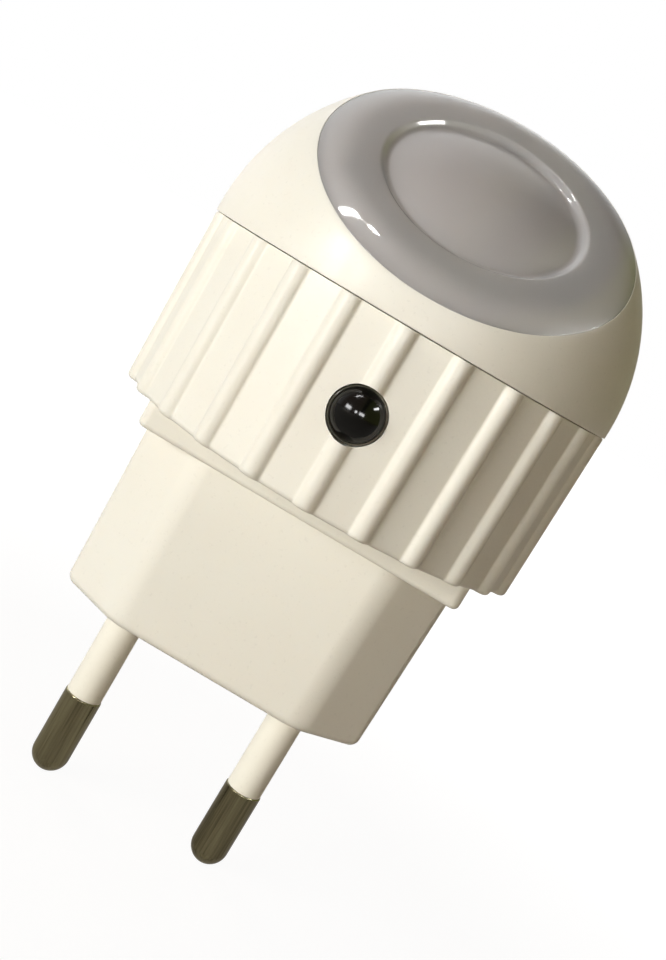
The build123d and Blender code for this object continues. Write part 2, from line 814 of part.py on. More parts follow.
NODES = {
    "plug_block": make_plug_block,
    "left_pin": lambda: make_pin(-pin_x),
    "right_pin": lambda: make_pin(pin_x),
    "left_pin_sleeve": lambda: make_sleeve(-pin_x),
    "right_pin_sleeve": lambda: make_sleeve(pin_x),
    "left_contact": lambda: make_contact(-1),
    "right_contact": lambda: make_contact(1),
    "ribbed_barrel": make_ribbed_barrel,
    "plug_screws": make_plug_screws,
    "sensor_window": make_sensor_window,
    "photocell": make_photocell,
    "driver_board": make_driver_board,
    "mains_capacitor": make_mains_capacitor,
    "smoothing_capacitor": make_smoothing_capacitor,
    "bridge_rectifier": make_bridge_rectifier,
    "fuse_resistor": make_fuse_resistor,
    "bleed_resistors": make_bleed_resistors,
    "switching_transistor": make_switching_transistor,
    "board_screws": make_board_screws,
    "bearing_deck": make_bearing_deck,
    "friction_washer": make_friction_washer,
    "head_base": make_head_base,
    "swivel_retainer": make_swivel_retainer,
    "head_screws": make_head_screws,
    "dome_shell": make_dome_shell,
    "lens": make_lens,
    "light_tray": make_light_tray,
    "tray_screws": make_tray_screws,
    "lamp_board": make_lamp_board,
    "lamp_chips": make_lamp_chips,
    "lamp_wires": make_lamp_wires,
}

os.makedirs("parts", exist_ok=True)
for name, make in NODES.items():
    export_step(make(), f"parts/{name}.step")
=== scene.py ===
"""The dressed plug-in night light: its shells, lens, pins and inner parts, and the studio round it."""

from __future__ import annotations

import json
import logging
import math
from contextlib import contextmanager
from dataclasses import dataclass, field
from enum import Enum
from typing import Callable, Iterator, Sequence

import bmesh
import bpy
from mathutils import Matrix, Vector

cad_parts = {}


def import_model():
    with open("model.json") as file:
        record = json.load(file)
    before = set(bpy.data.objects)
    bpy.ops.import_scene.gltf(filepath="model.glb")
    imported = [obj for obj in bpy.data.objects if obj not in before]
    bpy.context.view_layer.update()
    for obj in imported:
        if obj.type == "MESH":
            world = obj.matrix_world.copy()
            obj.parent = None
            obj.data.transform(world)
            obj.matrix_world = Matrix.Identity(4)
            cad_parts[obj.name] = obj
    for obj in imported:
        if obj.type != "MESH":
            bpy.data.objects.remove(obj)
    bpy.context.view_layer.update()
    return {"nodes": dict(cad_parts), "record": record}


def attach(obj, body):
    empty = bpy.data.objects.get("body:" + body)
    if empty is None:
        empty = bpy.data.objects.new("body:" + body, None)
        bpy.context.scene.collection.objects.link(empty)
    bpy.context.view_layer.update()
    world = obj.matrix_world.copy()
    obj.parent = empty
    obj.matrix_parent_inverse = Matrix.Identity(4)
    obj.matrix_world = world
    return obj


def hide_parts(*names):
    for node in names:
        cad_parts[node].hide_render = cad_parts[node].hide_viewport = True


LOG = logging.getLogger("night_light")
MM = 0.001  # a millimetre in the scene's metres
WELD = 1e-6  # points nearer than this become one, in metres
RIB_WELD = 5e-6  # the same, where the copies of a rib meet
HAIR = 0.001  # how far off its place a point may be, in millimetres
NEAR = 0.01  # the same for an edge
OVERLAP = 0.5  # how far an added shape reaches into what carries it
PAST = 1.0  # how far a cutting shape reaches past what it cuts
Point = tuple[float, float]
Triple = tuple[float, float, float]
Four = tuple[float, float, float, float]
Obj = bpy.types.Object
Node = bpy.types.Node
Socket = bpy.types.NodeSocket
Tree = bpy.types.NodeTree
WHITE = (1.0, 1.0, 1.0)
FLECK_COLOUR = (0.12, 0.1, 0.07)
FLECK_FINENESS = 37.0  # how much finer the flecks are than the drift of tone
WEAR_AND_HIGHLIGHT_PATCHES = 900.0  # the scale of the noise that breaks up the rubbed and painted-highlight edges
COARSE_GRAIN = (0.12, 0.6)  # the scale and the height of the coarse noise, against the grain's
GRAIN_WAVES = (0.022, 2.0)  # the same for the slow waves under it
RUBBED = 0.18  # how much roughness a rubbed surface loses
LINE_STRETCH = 0.03  # how much the drawn lines are stretched along Z
BAND_SCALE = 0.09  # the scale of the bands, against the lines'
LINE_AND_BAND = (0.35, 0.65)  # how much of the tone comes from lines and from bands
LINE_ROUGHNESS = (0.06, 0.1)  # how far the lines lower and raise the roughness


class Kind(Enum):
    """What a selection in edit mode is made of."""

    POINTS = "VERT"
    EDGES = "EDGE"


class Body(Enum):
    """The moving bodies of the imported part."""

    HOUSING = "plug_housing"
    HEAD = "head"


class Effect(Enum):
    """The effects that finishes share."""

    TONE = "tone"
    WEAR = "wear"
    GRAIN = "grain"
    DRAWN = "drawn"


# ---------------------------------------------------------------- the modelling bench


def clear_selection() -> None:
    """Leaves nothing selected in the scene."""
    bpy.ops.object.select_all(action="DESELECT")


def take(obj: Obj) -> None:
    """Selects one object alone and makes it the active one.

    Args:
        obj: the object.
    """
    clear_selection()
    obj.select_set(True)
    bpy.context.view_layer.objects.active = obj


@contextmanager
def editing(obj: Obj, kind: Kind = Kind.POINTS) -> Iterator[None]:
    """Opens an object in edit mode with nothing selected, and closes it at the end.

    Args:
        obj: the mesh object to edit.
        kind: what is being selected.

    Returns:
        A context for a with statement.
    """
    take(obj)
    bpy.ops.object.mode_set(mode="EDIT")
    bpy.ops.mesh.select_mode(type=kind.value)
    bpy.ops.mesh.select_all(action="DESELECT")
    try:
        yield
    finally:
        bpy.ops.object.mode_set(mode="OBJECT")


def pick_all() -> None:
    """Selects everything in edit mode."""
    bpy.ops.mesh.select_all(action="SELECT")


def pick(obj: Obj, kind: Kind, test: Callable[[Vector, Vector], bool]) -> int:
    """Selects the points or edges of the object in edit mode that pass a test.

    Args:
        obj: the object being edited.
        kind: what to select.
        test: takes a middle point in millimetres, and a point's normal or an edge's direction.

    Returns:
        How many were selected.
    """
    bpy.ops.mesh.select_mode(type=kind.value)
    bpy.ops.mesh.select_all(action="DESELECT")
    mesh = bmesh.from_edit_mesh(obj.data)
    if kind is Kind.POINTS:
        found = [point for point in mesh.verts if test(point.co / MM, point.normal)]
    else:
        found = []
        for edge in mesh.edges:
            first, second = (point.co for point in edge.verts)
            if test((first + second) / 2 / MM, (second - first).normalized()):
                found.append(edge)
    for part in found:
        part.select_set(True)
    mesh.select_flush_mode()
    bmesh.update_edit_mesh(obj.data)
    return len(found)


def upright(way: Vector) -> bool:
    """Whether an edge runs along Z."""
    return abs(way.z) > 0.9


def level(way: Vector) -> bool:
    """Whether an edge lies level."""
    return abs(way.z) < 0.01


def move_selected(shift: Sequence[float]) -> None:
    """Moves what is selected in edit mode by a shift in millimetres."""
    bpy.ops.transform.translate(value=tuple(part * MM for part in shift))


def scale_selected(factors: Sequence[float]) -> None:
    """Scales what is selected in edit mode about the origin."""
    bpy.ops.transform.resize(value=tuple(factors), center_override=(0, 0, 0))


def round_selected(size: float, steps: int) -> None:
    """Rounds the selected edges off by a size in millimetres, in that many steps."""
    bpy.ops.mesh.bevel(offset=size * MM, segments=steps, affect="EDGES", clamp_overlap=True)


def named(name: str) -> Obj:
    """Gives the active object, just added, its name, and returns it.

    Args:
        name: the name for the object and its mesh.

    Returns:
        The active object.
    """
    obj = bpy.context.active_object
    obj.name = name
    obj.data.name = name
    return obj


def box(name: str, size: Sequence[float], low: float) -> Obj:
    """Adds a box that stands on a level.

    Args:
        name: the object's name.
        size: its three sizes in millimetres.
        low: the level of its underside in millimetres.

    Returns:
        The box, with its place in its mesh.
    """
    clear_selection()
    bpy.ops.mesh.primitive_cube_add(size=MM, location=(0, 0, 0))
    obj = named(name)
    with editing(obj):
        pick_all()
        scale_selected(size)
        move_selected((0, 0, low + size[2] / 2))
    return obj


def draw(name: str, path: Sequence[Sequence[float]]) -> Obj:
    """Draws a path point by point.

    Args:
        name: the object's name.
        path: (x, y, z) points in millimetres.

    Returns:
        The open path.
    """
    clear_selection()
    bpy.ops.mesh.primitive_plane_add(size=MM, location=(0, 0, 0))
    obj = named(name)
    with editing(obj):
        pick(obj, Kind.POINTS, lambda at, _: at.x < 0 or at.y < 0)
        bpy.ops.mesh.delete(type="VERT")
        pick_all()
        x, y, z = path[0]
        move_selected((x - 0.5, y - 0.5, z))
        for before, after in zip(path, path[1:]):
            shift = tuple((new - old) * MM for old, new in zip(before, after))
            bpy.ops.mesh.extrude_vertices_move(TRANSFORM_OT_translate={"value": shift})
    return obj


def lathe(name: str, section: Sequence[Point], steps: int, closed: bool = True) -> Obj:
    """Draws a section and spins it about Z.

    Args:
        name: the object's name.
        section: (radius, height) points in millimetres.
        steps: how many steps the full turn has.
        closed: whether the last point joins the first.

    Returns:
        The turned object.
    """
    obj = draw(name, [(radius, 0.0, height) for radius, height in section])
    with editing(obj):
        if closed:
            ends = (section[0], section[-1])
            pick(obj, Kind.POINTS, lambda at, _: any(math.dist((at.x, at.z), end) < HAIR for end in ends))
            bpy.ops.mesh.edge_face_add()
        pick_all()
        bpy.ops.mesh.spin(steps=steps, angle=math.tau, center=(0, 0, 0), axis=(0, 0, 1))
        pick_all()
        bpy.ops.mesh.remove_doubles(threshold=WELD)
        bpy.ops.mesh.normals_make_consistent(inside=False)
    return obj


def place(obj: Obj, matrix: Matrix) -> None:
    """Carries an object to its place and puts the place in its mesh.

    Args:
        obj: the object, made about the origin.
        matrix: where it goes and how it is turned.
    """
    take(obj)
    obj.matrix_world = matrix
    bpy.ops.object.transform_apply(location=True, rotation=True, scale=True)


def shift_by(x: float, y: float, z: float) -> Matrix:
    """A move in millimetres."""
    return Matrix.Translation((x * MM, y * MM, z * MM))


def facing_front(height: float) -> Matrix:
    """Turns a shape made about Z to look along -Y, at a height in millimetres."""
    return shift_by(0, 0, height) @ Matrix.Rotation(math.pi / 2, 4, "X")


def on_circle(radius: float, degrees: float) -> Point:
    """The point of a circle round the origin at an angle from X."""
    return radius * math.cos(math.radians(degrees)), radius * math.sin(math.radians(degrees))


def rod(
    name: str, radius: float, low: float, high: float, steps: int, at: Point = (0, 0), inner: float = 0
) -> Obj:
    """An upright rod, or a tube where it has an inner radius.

    Args:
        name: the object's name.
        radius: the outer radius in millimetres.
        low: the level of its underside.
        high: the level of its top.
        steps: how many steps its full turn has.
        at: where it stands.
        inner: the inner radius.

    Returns:
        The rod.
    """
    section = [(inner, low), (radius, low), (radius, high), (inner, high)]
    obj = lathe(name, section, steps, closed=inner > 0)
    place(obj, shift_by(*at, 0))
    return obj


def join(first: Obj, others: Sequence[Obj]) -> None:
    """Joins objects into the first one, which keeps its name.

    Args:
        first: the object that is kept.
        others: the objects that become part of it.
    """
    take(first)
    for other in others:
        other.select_set(True)
    bpy.ops.object.join()


def combine(obj: Obj, tool: Obj, operation: str) -> None:
    """Adds a tool shape to an object, or cuts it away, and removes the tool.

    Args:
        obj: the object that is kept.
        tool: the closed shape to add or cut.
        operation: UNION or DIFFERENCE.
    """
    take(obj)
    step = obj.modifiers.new("combine", "BOOLEAN")
    step.object = tool
    step.operation = operation
    step.solver = "EXACT"
    bpy.ops.object.modifier_apply(modifier=step.name)
    bpy.data.objects.remove(tool, do_unlink=True)


def smooth(obj: Obj, angle: float) -> None:
    """Shades an object smooth, apart from edges sharper than an angle in degrees.

    Args:
        obj: the object.
        angle: the angle in degrees.
    """
    take(obj)
    bpy.ops.object.shade_smooth_by_angle(angle=math.radians(angle))
    step = obj.modifiers.new("even normals", "WEIGHTED_NORMAL")
    step.keep_sharp = True
    bpy.ops.object.modifier_apply(modifier=step.name)


def rounded(corners: Sequence[Triple], steps: int) -> list[Point]:
    """Turns a path with a radius at each corner into points.

    Args:
        corners: (x, y, radius) in millimetres; the first and the last are kept as they are.
        steps: points on each rounded corner.

    Returns:
        The points of the path.
    """
    points = [tuple(corners[0][:2])]
    for before, here, after in zip(corners, corners[1:], corners[2:]):
        corner = Vector(here[:2])
        back = (Vector(before[:2]) - corner).normalized()
        ahead = (Vector(after[:2]) - corner).normalized()
        radius = here[2]
        if radius <= 0:
            points.append(tuple(corner))
            continue
        half = back.angle(ahead) / 2
        reach = radius / math.tan(half)
        centre = corner + (back + ahead).normalized() * radius / math.sin(half)
        first = corner + back * reach - centre
        last = corner + ahead * reach - centre
        sweep = first.angle_signed(last)
        for step in range(steps + 1):
            points.append(tuple(centre + Matrix.Rotation(-sweep * step / steps, 2) @ first))
    return [*points, tuple(corners[-1][:2])]


def arc(radius: float, centre: float, start: float, end: float, steps: int) -> list[Point]:
    """Points of (radius, height) on a circle round the axis point at a height.

    Args:
        radius: the circle's radius in millimetres.
        centre: the height of its centre.
        start: the first angle from the axis, in degrees.
        end: the last angle.
        steps: how many steps there are between them.

    Returns:
        The points.
    """
    angles = [math.radians(start + (end - start) * step / steps) for step in range(steps + 1)]
    return [(radius * math.sin(angle), centre + radius * math.cos(angle)) for angle in angles]


def prism(name: str, shape: Four, low: float, high: float) -> Obj:
    """An eight-sided prism with two long faces, made from a box with its corners cut.

    Args:
        name: the object's name.
        shape: half its width, half its depth, half its front face and half its side face.
        low: the level of its underside.
        high: the level of its top.

    Returns:
        The prism.
    """
    half_width, half_depth, front_half, side_half = shape
    cut = half_width - front_half
    stretch = cut / (half_depth - side_half)
    obj = box(name, (2 * half_width, 2 * half_depth * stretch, high - low), low)
    with editing(obj, Kind.EDGES):
        pick(obj, Kind.EDGES, lambda _, way: upright(way))
        bpy.ops.mesh.bevel(offset=cut * MM, segments=1, affect="EDGES")
        pick_all()
        scale_selected((1, 1 / stretch, 1))
    return obj


# ---------------------------------------------------------------- finishes


class Nodes:
    """A node tree being wired, with short calls for the nodes that the finishes need."""

    def __init__(self, tree: Tree) -> None:
        """Starts on an empty tree."""
        self.tree = tree
        self.tree.nodes.clear()

    def add(self, kind: str, **settings: object) -> Node:
        """Adds a node of a kind and sets its properties.

        Args:
            kind: the node's type.
            settings: its properties by name.

        Returns:
            The node.
        """
        node = self.tree.nodes.new(kind)
        for name, value in settings.items():
            setattr(node, name, value)
        return node

    def feed(self, target: Socket, source: object) -> None:
        """Links a socket to another, or sets its value; a plain colour gets full alpha.

        Args:
            target: the input to feed.
            source: an output, a value or a colour.
        """
        if isinstance(source, Socket):
            self.tree.links.new(source, target)
        else:
            target.default_value = (*source, 1.0) if target.type == "RGBA" else source

    def fill(self, node: Node, **values: object) -> Node:
        """Feeds a node's inputs by name, with underscores for spaces, and returns the node.

        Args:
            node: the node.
            values: what each input gets.

        Returns:
            The same node.
        """
        for name, value in values.items():
            self.feed(node.inputs[name.replace("_", " ")], value)
        return node

    def math(self, operation: str, first: object, second: object = 0.0, clamp: bool = False) -> Socket:
        """Adds a math node and returns its output.

        Args:
            operation: what it works out.
            first: its first value.
            second: its second value, where it takes one.
            clamp: whether the result is kept between 0 and 1.

        Returns:
            The result.
        """
        node = self.add("ShaderNodeMath", operation=operation, use_clamp=clamp)
        self.feed(node.inputs[0], first)
        self.feed(node.inputs[1], second)
        return node.outputs[0]

    def times(self, first: object, second: object) -> Socket:
        """The product of two values."""
        return self.math("MULTIPLY", first, second)

    def plus(self, first: object, second: object) -> Socket:
        """The sum of two values."""
        return self.math("ADD", first, second)

    def larger(self, *values: Socket) -> Socket:
        """The largest of some values."""
        return values[0] if len(values) == 1 else self.math("MAXIMUM", self.larger(*values[:-1]), values[-1])

    def measure(self, operation: str, first: object, second: object = (0.0, 0.0, 0.0)) -> Socket:
        """Adds a vector math node and returns its value.

        Args:
            operation: what it measures.
            first: its first vector.
            second: its second vector, where it takes one.

        Returns:
            The value.
        """
        node = self.add("ShaderNodeVectorMath", operation=operation)
        self.feed(node.inputs[0], first)
        self.feed(node.inputs[1], second)
        return node.outputs["Value"]

    def along(self, vector: Socket, axis: str) -> Socket:
        """One part of a vector."""
        return self.fill(self.add("ShaderNodeSeparateXYZ"), Vector=vector).outputs[axis]

    def mapped(self, vector: Socket, **settings: Triple) -> Socket:
        """A vector moved, turned or scaled by a mapping node."""
        return self.fill(self.add("ShaderNodeMapping"), Vector=vector, **settings).outputs["Vector"]

    def noise(self, vector: Socket, scale: object, detail: float = 3.0) -> Socket:
        """Adds a noise texture and returns its value."""
        node = self.add("ShaderNodeTexNoise")
        return self.fill(node, Vector=vector, Scale=scale, Detail=detail, Roughness=0.55).outputs["Fac"]

    def spread(
        self, value: Socket, low: object, high: object, start: float = 0.3, end: float = 0.7
    ) -> Socket:
        """Maps a value from one range to another, clamped.

        Args:
            value: the value.
            low: the result at the start of the range, and before it.
            high: the result at the end of the range, and after it.
            start: where the range starts.
            end: where the range ends.

        Returns:
            The result.
        """
        node = self.add("ShaderNodeMapRange")
        self.fill(node, Value=value, From_Min=start, From_Max=end, To_Min=low, To_Max=high)
        return node.outputs["Result"]

    def blend(self, mask: Socket, first: object, second: object) -> Socket:
        """Mixes two colours by a mask and returns the colour.

        Args:
            mask: how much of the second colour shows.
            first: the colour where the mask is 0.
            second: the colour where the mask is 1.

        Returns:
            The mixed colour.
        """
        node = self.add("ShaderNodeMix", data_type="RGBA")
        for index, source in ((0, mask), (6, first), (7, second)):
            self.feed(node.inputs[index], source)
        return node.outputs[2]


class Group(Nodes):
    """A shader node group being wired, which takes a vector, colours and values."""

    def __init__(
        self, name: str, colours: Sequence[str], values: Sequence[str], made: dict[str, str]
    ) -> None:
        """Starts the group.

        Args:
            name: the group's name.
            colours: names of the colours that it takes.
            values: names of the values that it takes.
            made: names of what it gives, with their kinds.
        """
        super().__init__(bpy.data.node_groups.new(name, "ShaderNodeTree"))
        taken = {"Vector": "Vector"} | dict.fromkeys(colours, "Color") | dict.fromkeys(values, "Float")
        for way, sockets in (("INPUT", taken), ("OUTPUT", made)):
            for title, kind in sockets.items():
                self.tree.interface.new_socket(title, in_out=way, socket_type=f"NodeSocket{kind}")
        self.start = self.add("NodeGroupInput")
        self.end = self.add("NodeGroupOutput")

    def take(self, *titles: str) -> list[Socket]:
        """What the group is given under some names."""
        return [self.start.outputs[title] for title in titles]

    def give(self, **values: Socket) -> Tree:
        """Feeds what the group gives, and returns its tree."""
        self.fill(self.end, **values)
        return self.tree


def tone_drift() -> Tree:
    """Slow drifts of colour over a moulding, with small flecks in them.

    Returns:
        The group.
    """
    group = Group(
        "Tone drift", ("Colour", "Second Colour"), ("Scale", "Amount", "Fleck Amount"), {"Colour": "Color"}
    )
    where, scale, amount, flecks = group.take("Vector", "Scale", "Amount", "Fleck Amount")
    mask = group.spread(group.noise(where, scale, 2.0), 0.0, amount, 0.35, 0.7)
    drift = group.blend(mask, *group.take("Colour", "Second Colour"))
    fine = group.noise(where, group.times(scale, FLECK_FINENESS))
    fleck = group.spread(fine, 0.0, flecks, 0.62, 0.72)
    return group.give(Colour=group.blend(fleck, drift, FLECK_COLOUR))


def edge_wear_and_highlight() -> Tree:
    """Edges painted lighter, partly as rubbing and partly as a painted edge highlight, and made smoother,
    broken up by noise.

    Returns:
        The group.
    """
    made = {"Colour": "Color", "Mask": "Float"}
    group = Group("Edge wear", ("Colour", "Worn Colour"), ("Width", "Amount"), made)
    where, width, amount = group.take("Vector", "Width", "Amount")
    soft = group.fill(group.add("ShaderNodeBevel", samples=4), Radius=width)
    true = group.add("ShaderNodeNewGeometry")
    across = group.measure("DOT_PRODUCT", soft.outputs[0], true.outputs["Normal"])
    edge = group.spread(across, 1.0, 0.0, 0.86, 0.995)
    patch = group.spread(group.noise(where, WEAR_AND_HIGHLIGHT_PATCHES), 0.35, 1.0, 0.35, 0.6)
    # The edge mask paints the edges lighter, partly as rubbing and partly as a painted highlight along them.
    mask = group.times(group.times(edge, patch), amount)
    return group.give(Colour=group.blend(mask, *group.take("Colour", "Worn Colour")), Mask=mask)


def mould_grain() -> Tree:
    """The fine spark-eroded grain of a mould, as height and roughness.

    Returns:
        The group.
    """
    taken = ("Grain Size", "Roughness", "Roughness Spread", "Polish")
    group = Group("Mould grain", (), taken, {"Height": "Float", "Roughness": "Float"})
    where, size, roughness, width, polish = group.take("Vector", *taken)
    scale = group.math("DIVIDE", 1.0, size)
    pits = group.fill(group.add("ShaderNodeTexVoronoi", feature="SMOOTH_F1"), Vector=where, Scale=scale)
    coarse = group.noise(where, group.times(scale, COARSE_GRAIN[0]), 3.0)
    waves = group.noise(where, group.times(scale, GRAIN_WAVES[0]), 1.0)
    height = group.plus(pits.outputs["Distance"], group.times(coarse, COARSE_GRAIN[1]))
    height = group.plus(height, group.times(waves, GRAIN_WAVES[1]))
    low = group.math("SUBTRACT", roughness, width)
    matt = group.spread(coarse, low, group.plus(roughness, width), 0.35, 0.65)
    rubbed = group.math("SUBTRACT", matt, group.times(polish, RUBBED), clamp=True)
    return group.give(Height=height, Roughness=rubbed)


def drawn_lines() -> Tree:
    """The long fine lines of drawn or rolled metal, along Z of the vector it is given.

    Returns:
        The group.
    """
    made = {"Colour": "Color", "Height": "Float", "Roughness": "Float"}
    group = Group("Drawn lines", ("Colour", "Line Colour"), ("Line Width", "Roughness"), made)
    where, width, roughness = group.take("Vector", "Line Width", "Roughness")
    where = group.mapped(where, Scale=(1.0, 1.0, LINE_STRETCH))
    scale = group.math("DIVIDE", 1.0, width)
    lines = group.noise(where, scale, 2.0)
    bands = group.noise(where, group.times(scale, BAND_SCALE), 2.0)
    both = group.plus(group.times(lines, LINE_AND_BAND[0]), group.times(bands, LINE_AND_BAND[1]))
    mask = group.spread(both, 0.0, 1.0, 0.4, 0.62)
    low = group.math("SUBTRACT", roughness, LINE_ROUGHNESS[0])
    high = group.plus(roughness, LINE_ROUGHNESS[1])
    return group.give(
        Colour=group.blend(mask, *group.take("Colour", "Line Colour")),
        Height=lines,
        Roughness=group.spread(lines, low, high),
    )


class Surface(Nodes):
    """A material being wired: its shader, its object coordinates and the shared effects."""

    def __init__(self, name: str, effects: dict[Effect, Tree]) -> None:
        """Starts the material.

        Args:
            name: the material's name.
            effects: the shared node groups.
        """
        self.material = bpy.data.materials.new(name)
        self.material.use_nodes = True
        super().__init__(self.material.node_tree)
        self.effects = effects
        self.shader = self.add("ShaderNodeBsdfPrincipled")
        self.fill(self.add("ShaderNodeOutputMaterial"), Surface=self.shader.outputs[0])
        self.where = self.add("ShaderNodeTexCoord").outputs["Object"]

    def effect(self, effect: Effect, **values: object) -> Node:
        """Places a shared effect and feeds it."""
        node = self.add("ShaderNodeGroup", node_tree=self.effects[effect])
        return self.fill(node, Vector=self.where, **values)

    def grain(self, size: float, roughness: float, width: float, depth: float, polish: object = 0.0) -> None:
        """Feeds the shader's roughness and normal from the mould's grain.

        Args:
            size: the size of a grain in metres.
            roughness: the middle roughness.
            width: how far the roughness strays from it.
            depth: the depth of the grain in metres.
            polish: where the surface is rubbed smooth.
        """
        grain = self.effect(
            Effect.GRAIN, Grain_Size=size, Roughness=roughness, Roughness_Spread=width, Polish=polish
        )
        self.fill(self.shader, Roughness=grain.outputs["Roughness"])
        self.bump(grain.outputs["Height"], depth)

    def bump(self, height: Socket, depth: float) -> None:
        """Feeds a height to the shader's normal, with a depth in metres."""
        node = self.fill(self.add("ShaderNodeBump"), Strength=1.0, Distance=depth, Height=height)
        self.fill(self.shader, Normal=node.outputs[0])


@dataclass(frozen=True)
class Finish:
    """A finish by name, which knows how to wire its material."""

    name: str

    def material(self, effects: dict[Effect, Tree]) -> bpy.types.Material:
        """Builds the material.

        Args:
            effects: the shared node groups.

        Returns:
            The material.
        """
        surface = Surface(self.name, effects)
        self.wire(surface)
        return surface.material

    def wire(self, surface: Surface) -> None:
        """Wires the finish into a new material."""
        raise NotImplementedError


@dataclass(frozen=True)
class MouldedPlastic(Finish):
    """A moulded plastic: its two tones, its grain and its gloss."""

    colour: Triple
    second: Triple
    # The lighter colour at the edges: partly rubbed plastic, partly a painted edge highlight.
    worn_and_lit: Triple = (0.9, 0.87, 0.78)
    roughness: float = 0.42
    spread: float = 0.06
    grain_size: float = 0.00022
    grain_depth: float = 0.000004
    drift_scale: float = 70.0
    drift: float = 0.6
    flecks: float = 0.06
    wear: float = 0.35
    wear_and_highlight_width: float = 0.0003
    gloss: float = 0.5
    coat: float = 0.0
    coat_roughness: float = 0.08
    under: float = 0.0
    under_radius: Triple = (1.0, 0.8, 0.6)
    under_scale: float = 0.001

    def wire(self, surface: Surface) -> None:
        """Wires drifting tones, edges painted lighter (partly rubbed, partly a painted highlight), grain,
        gloss and the light under the skin.

        Args:
            surface: the material being wired.
        """
        tone = surface.effect(
            Effect.TONE,
            Colour=self.colour,
            Second_Colour=self.second,
            Scale=self.drift_scale,
            Amount=self.drift,
            Fleck_Amount=self.flecks,
        )
        wear = surface.effect(
            Effect.WEAR,
            Colour=tone.outputs["Colour"],
            Worn_Colour=self.worn_and_lit,
            Width=self.wear_and_highlight_width,
            Amount=self.wear,
        )
        surface.grain(self.grain_size, self.roughness, self.spread, self.grain_depth, wear.outputs["Mask"])
        surface.fill(
            surface.shader,
            Base_Color=wear.outputs["Colour"],
            Specular_IOR_Level=self.gloss,
            Coat_Weight=self.coat,
            Coat_Roughness=self.coat_roughness,
            Subsurface_Weight=self.under,
            Subsurface_Radius=self.under_radius,
            Subsurface_Scale=self.under_scale,
        )


@dataclass(frozen=True)
class DrawnMetal(Finish):
    """A drawn, rolled or plated metal with long fine lines."""

    colour: Triple
    line: Triple
    roughness: float = 0.28
    line_width: float = 0.00012
    line_depth: float = 0.000002
    # The lighter colour at the edges: partly rubbed metal, partly a painted edge highlight.
    worn_and_lit: Triple = (0.8, 0.78, 0.7)
    wear: float = 0.5
    wear_and_highlight_width: float = 0.0002

    def wire(self, surface: Surface) -> None:
        """Wires the drawn lines and the edges painted lighter, partly rubbed and partly a painted highlight.

        Args:
            surface: the material being wired.
        """
        drawn = surface.effect(
            Effect.DRAWN,
            Line_Width=self.line_width,
            Colour=self.colour,
            Line_Colour=self.line,
            Roughness=self.roughness,
        )
        wear = surface.effect(
            Effect.WEAR,
            Colour=drawn.outputs["Colour"],
            Worn_Colour=self.worn_and_lit,
            Width=self.wear_and_highlight_width,
            Amount=self.wear,
        )
        roughness = drawn.outputs["Roughness"]
        surface.fill(surface.shader, Base_Color=wear.outputs["Colour"], Roughness=roughness, Metallic=1.0)
        surface.bump(drawn.outputs["Height"], self.line_depth)


@dataclass(frozen=True)
class SmokedBead(Finish):
    """Near-black clear plastic with a painted paler ring round its edge, which stands in for the lit wall of
    its hole, painted lighter and browner towards +X where the light falls.
    """

    colour: Triple = (0.003, 0.003, 0.0026)
    # Painted light: the ring's tones stand in for the lit wall of the hole, with a lighter painted tone on
    # the +X side.
    rim: Triple = (0.12, 0.115, 0.085)
    painted_lit_rim: Triple = (0.3, 0.265, 0.215)
    painted_ring_range: Point = (0.00236, 0.00256)
    painted_light_side_range: Point = (0.0004, 0.0022)
    level: float = 0.0308
    grain_size: float = 0.0002
    grain_depth: float = 0.0000005
    roughness: float = 0.13
    spread: float = 0.03
    gloss: float = 0.3
    cloud_scale: float = 900.0
    cloud_low: float = 0.55

    def wire(self, surface: Surface) -> None:
        """Wires the dark middle and the painted ring of light, painted lighter towards the lit +X side.

        Args:
            surface: the material being wired.
        """
        where = surface.where
        flat = surface.mapped(where, Location=(0.0, 0.0, -self.level), Scale=(1.0, 0.0, 1.0))
        ring = surface.spread(surface.measure("LENGTH", flat), 0.0, 1.0, *self.painted_ring_range)
        cloud = surface.spread(surface.noise(where, self.cloud_scale), self.cloud_low, 1.0)
        # The painted ring of light, lighter towards +X where the light falls on the wall of the hole.
        side = surface.spread(surface.along(where, "X"), 0.0, 1.0, *self.painted_light_side_range)
        rim = surface.blend(side, self.rim, self.painted_lit_rim)
        tone = surface.blend(surface.times(ring, cloud), self.colour, rim)
        surface.grain(self.grain_size, self.roughness, self.spread, self.grain_depth)
        surface.fill(surface.shader, Base_Color=tone, Specular_IOR_Level=self.gloss)


